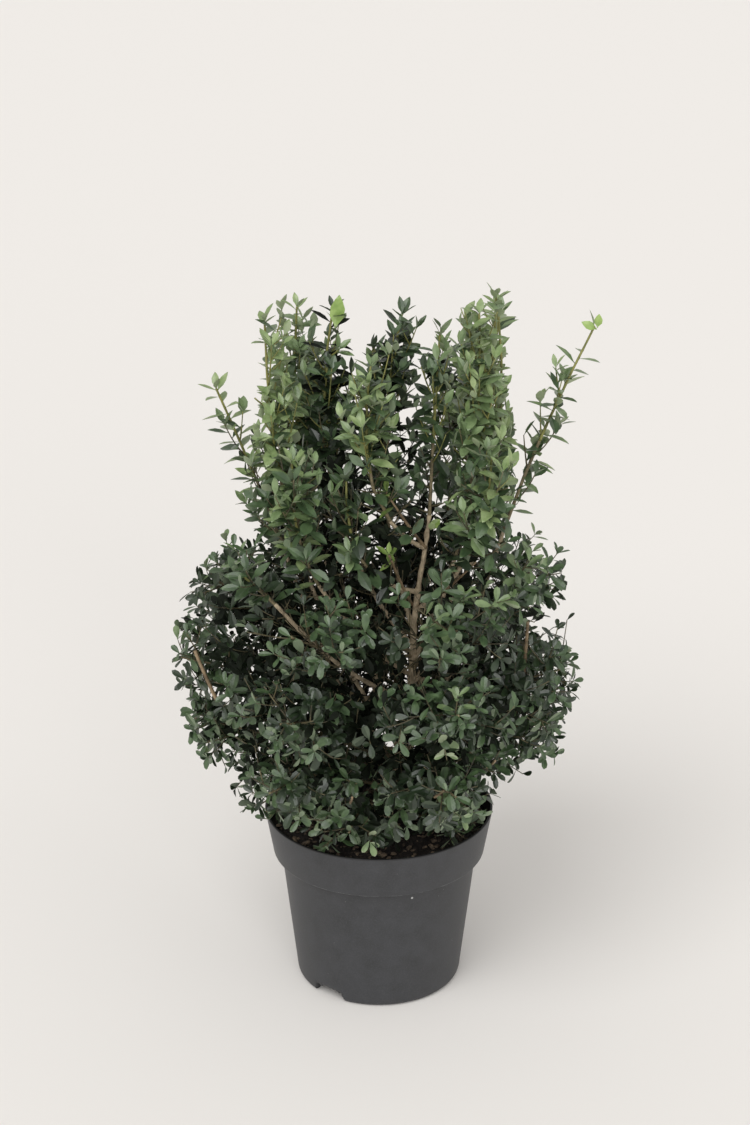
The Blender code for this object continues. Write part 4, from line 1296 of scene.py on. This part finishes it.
def make_chips():
    """Bark chips and crumbs on the soil: flattened lumps of four rings of six points, turned at random."""
    dice = np.random.default_rng([SEED, 7])
    count = CHIP_COUNT
    radius = (collar_inside(SOIL_TOP) - 5 * MM) * np.sqrt(dice.uniform(0.015, 1, count))
    azimuth = dice.uniform(0, math.tau, count)
    height = np.full(count, SOIL_TOP + 0.9 * MM)
    middle = np.stack([radius * np.cos(azimuth), radius * np.sin(azimuth), height], 1)
    size = dice.uniform(*CHIP_SIZES, count)[:, None] * MM * np.array(CHIP_SHAPE)
    size = size * dice.uniform(0.7, 1.3, (count, 3))
    ball = turned(np.sin(CHIP_RINGS), np.cos(CHIP_RINGS), np.arange(6) * math.tau / 6)
    ball = ball[None] * dice.uniform(0.7, 1.3, (count, 4, 6, 1)) * size[:, None, None]
    spin, tip = dice.uniform(0, math.tau, count), dice.normal(0, 0.35, count)
    across = unit(np.stack([np.cos(spin), np.sin(spin), np.sin(tip)], 1))
    front = unit(np.cross(UP, across))
    rise = np.cross(across, front)
    points = middle[:, None, None] + ball @ np.stack([across, front, rise], 1)[:, None]
    faces = tube_faces(count, 4, 6)
    add_piece("soil_chips", points, faces, chip_finish(), ["soil"], smooth=False)


def make_trunk(material):
    """The trunk: level rings that taper and flare as the solid's do but are slimmer higher up, with lobes
    at the foot and ridges of bark."""
    line = trunk_line(240)
    turn = np.arange(30) * math.tau / 30
    flare = np.exp(-(line[:, 2] - line[0, 2]) / FLARE_HEIGHT)[:, None]
    circle = np.stack([np.cos(turn), np.sin(turn), np.zeros(30)], 1)
    drawn = trunk_radii(line) * np.interp(line[:, 2], DRAWN_TRUNK_HEIGHTS, DRAWN_TRUNK_SHARES)
    radii = drawn[:, None] * (1 + 0.12 * flare * np.cos(FLARE_LOBES * turn)[None])
    flat = line[:, None] + radii[..., None] * circle
    ridges = 0.16 * MM * wavy(flat * (1, 1, 0.22), 2.4 * MM, 21) + 0.22 * MM * wavy(flat, 14 * MM, 22)
    points = line[:, None] + (radii + ridges - 0.1 * MM)[..., None] * circle
    add_piece("trunk_bark", points, flipped(tube_faces(1, 240, 30)), material, ["trunk"])


def relief(points, middle, amount, seed):
    """Moves a tube's points out and in by bark ridges, drawn out along the limb, and by knots."""
    ridges = amount * (0.6 * wavy(points * (1, 1, 0.4), 2.2 * MM, seed) + wavy(points, 11 * MM, seed + 1))
    return points + ridges[..., None] * unit(points - middle[:, :, None])


def make_tubes(name, lines, radii, sides, depth, seed, material, nodes):
    """Limbs as tubes along their lines, with bark relief of this depth."""
    points = relief(tubes(lines, radii, sides), lines, depth, seed)
    add_piece(name, points, tube_faces(*lines.shape[:2], sides), material, nodes)


def make_boughs(boughs, material):
    """All the boughs, on smooth curves through the solids' corners."""
    lines = np.stack([smooth_line(bough.corners, 70) for bough in boughs])
    radii = np.broadcast_to(np.linspace(*DRAWN_BOUGH_RADII, 70), lines.shape[:2])
    names = [bough.name for bough in boughs]
    make_tubes("bough_bark", lines, radii, 14, 0.13 * MM, 31, material, names)


def make_twigs(name, sprays, samples, sides, material, nodes):
    """Stems or twigs, which taper along their lines."""
    lines = np.stack([evenly(spray.line, samples) for spray in sprays])
    radii = np.stack([np.linspace(*spray.radii, samples) for spray in sprays])
    make_tubes(name, lines, radii, sides, 0.05 * MM, 41, material, nodes)


def make_leaves(name, leaves, material, nodes):
    """Leaves of one kind, in pieces of at most PIECE_FACES faces."""
    bodies = leaf_bodies(leaves)
    rows, sides = bodies.shape[1:3]
    step = PIECE_FACES // ((rows - 1) * sides)
    for number, start in enumerate(range(0, len(bodies), step)):
        part = bodies[start : start + step]
        faces = tube_faces(len(part), rows, sides)
        add_piece(f"{name}_{number + 1}", part, faces, material, nodes, leaf_edges)


def tones_of(sprays, number):
    """Which green each spray has: painted shade, near black, for sprays that end deep inside the crown, deep
    and mid at its surface, and lighter in the upper shoots and at their ends, partly for their paler young
    growth and partly as painted light by height."""
    dice = np.random.default_rng([SEED, number, 4])
    ends = np.array([spray.line[-1] for spray in sprays])
    # lighter higher up: partly younger leaves, partly painted light by height
    lift = np.interp(ends[:, 2], TONE_HEIGHTS, HEIGHT_TONE_AND_LIGHT_LIFTS)
    # painted shade: sprays ending deep inside the crown get darker greens
    lift += np.interp(crown_share(ends), PAINTED_SHADE_SHARES, PAINTED_SHADE_LIFTS)
    return np.searchsorted(TONE_STEPS, dice.uniform(size=len(ends)) + lift)


def bare_line(twig):
    """A bare twig's line, bowed a little."""
    foot, tip = np.array(twig.foot), np.array(twig.tip)
    middle = (foot + tip) / 2 - 0.06 * np.linalg.norm(tip - foot) * UP
    return bend_line(foot, middle, tip, 24)


def opening_lines(boughs, masses):
    """The limbs that show from the front, each with the half width of the opening in the leaves before it:
    the upper trunk, the leader's lower stem, the bough of the front shoulder and the bare twigs."""
    trunk = trunk_line(60)
    leader = masses[0].line
    bough = next(bough for bough in boughs if bough.name == "bough_front_shoulder").line
    low, high = SHOWN_TRUNK
    return (
        (trunk[(trunk[:, 2] > low) & (trunk[:, 2] < high)], 9 * MM),
        (leader[leader[:, 2] < SHOWN_LEADER_TOP][::3], 5 * MM),
        (bough[len(bough) // 2 :: 3], 7 * MM),
        *[(bare_line(twig)[8:], TWIG_OPENING) for twig in BARE_TWIGS],
    )


def marked_leaves():
    """The bright young leaves: those listed and the tufts at the ends of bare twigs."""
    dice = np.random.default_rng([SEED, 8])
    parts = []
    for twig in BARE_TWIGS:
        if twig.tuft:
            spray = Spray(bare_line(twig), twig.radii, 0.75, 1)
            base, heading, facing, size, _ = leaf_sites(spray, HIGH, dice)
            length = 0.8 * HIGH.leaf_length * size
            parts.append((base, heading, facing, length, 0.8 * HIGH.leaf_width * size))
    base, heading, length, width = [np.array(column) for column in zip(*MARKED_LEAVES)]
    heading = unit(heading)
    facing = unit(TOWARDS_FRONT - (heading @ TOWARDS_FRONT)[:, None] * heading)
    parts.append((base, heading, facing, length, width))
    columns = [np.concatenate(column) for column in zip(*parts)]
    count = len(columns[0])
    return Leaves(*columns, np.full(count, HIGH.leaf_shape), np.full(count, len(TONES) - 1))


def make_plant():
    """The trunk, boughs, stems, twigs and leaves, mass by mass."""
    boughs, masses = make_limbs()
    room = Room(boughs, masses)
    bark = bark_finish("trunk_bark", (116, 102, 82), (222, 203, 170))
    stem_bark = bark_finish("stem_bark", (78, 70, 52), (146, 134, 102))
    woody = twig_finish("twig_wood", (56, 52, 38), (108, 100, 72))
    green = twig_finish("green_wood", (92, 96, 50), (140, 138, 78))
    bare = twig_finish("bare_wood", (98, 82, 62), (162, 140, 110))
    make_trunk(bark)
    make_boughs(boughs, bark)
    opening = opening_lines(boughs, masses)
    stems, shoots, twigs = [], [], []
    leaves = [marked_leaves()]
    for number, mass in enumerate(masses):
        sprays = sprays_of(mass, number, room)
        twigs += sprays[1:]
        if mass.on_trunk:
            stems.append(sprays[0])
        else:
            low, high = parted(sprays[0], WOODY_SHARE)
            stems.append(low)
            shoots.append(high)
        leaves.append(leaves_of(mass, sprays, number, room, tones_of(sprays, number), opening))
    names = [mass.name for mass in masses]
    shoot_names = [mass.name for mass in masses if not mass.on_trunk]
    make_twigs("stems", stems, 60, 9, stem_bark, names)
    make_twigs("shoot_tops", shoots, 40, 8, green, shoot_names)
    bare_twigs = [Spray(bare_line(twig), twig.radii, 0.0, 1) for twig in BARE_TWIGS]
    make_twigs("bare_twigs", bare_twigs, 24, 9, bare, names)
    make_twigs("twigs", [twig for twig in twigs if twig.line[0, 2] <= GREEN_HEIGHT], 6, 4, woody, names)
    make_twigs("green_twigs", [twig for twig in twigs if twig.line[0, 2] > GREEN_HEIGHT], 6, 4, green, names)
    leaves = joined(leaves)
    for number, tone in enumerate(TONES):
        make_leaves("leaves_" + tone.name, leaves.chosen(leaves.tone == number), leaf_finish(tone), names)


def make_studio():
    """A pale floor and surround, three soft distant lights and the camera at the photograph's angle."""
    mesh = bpy.data.meshes.new("floor")
    corners = FLOOR_REACH * np.array([(-1, -1, 0), (1, -1, 0), (1, 1, 0), (-1, 1, 0)])
    mesh.from_pydata(corners.tolist(), [], [(0, 1, 2, 3)])
    finish = Finish("floor_paint")
    finish.set(Base_Color=colour(234, 231, 227), Roughness=0.9)
    mesh.materials.append(finish.material)
    floor = placed("floor", mesh)
    world = bpy.data.worlds.new("studio")
    world.use_nodes = True
    world.node_tree.nodes["Background"].inputs[0].default_value = colour(244, 242, 240)
    world.node_tree.nodes["Background"].inputs[1].default_value = 0.65
    bpy.context.scene.world = world
    for light in LIGHTS:
        add_light(*light)
    lens = bpy.data.cameras.new("camera")
    lens.lens = FOCAL_PIXELS / PHOTO_HEIGHT * SENSOR_SIZE
    lens.sensor_width = SENSOR_SIZE
    camera = placed("camera", lens)
    camera.location = CAMERA_PLACE
    camera.rotation_euler = (CAMERA_TILT, 0, 0)
    bpy.context.scene.camera = camera
    bpy.context.scene.view_settings.view_transform = "Standard"


def add_light(name, place, spread, strength):
    """A distant soft light from this (azimuth right of the front, elevation), this wide in the sky."""
    light = bpy.data.lights.new(name, "SUN")
    light.angle = math.radians(spread)
    light.energy = strength
    lamp = placed(name, light)
    lamp.rotation_euler = (math.radians(90 - place[1]), 0.0, math.radians(place[0]))


make_studio()
make_pot()
make_soil()
make_chips()
make_plant()
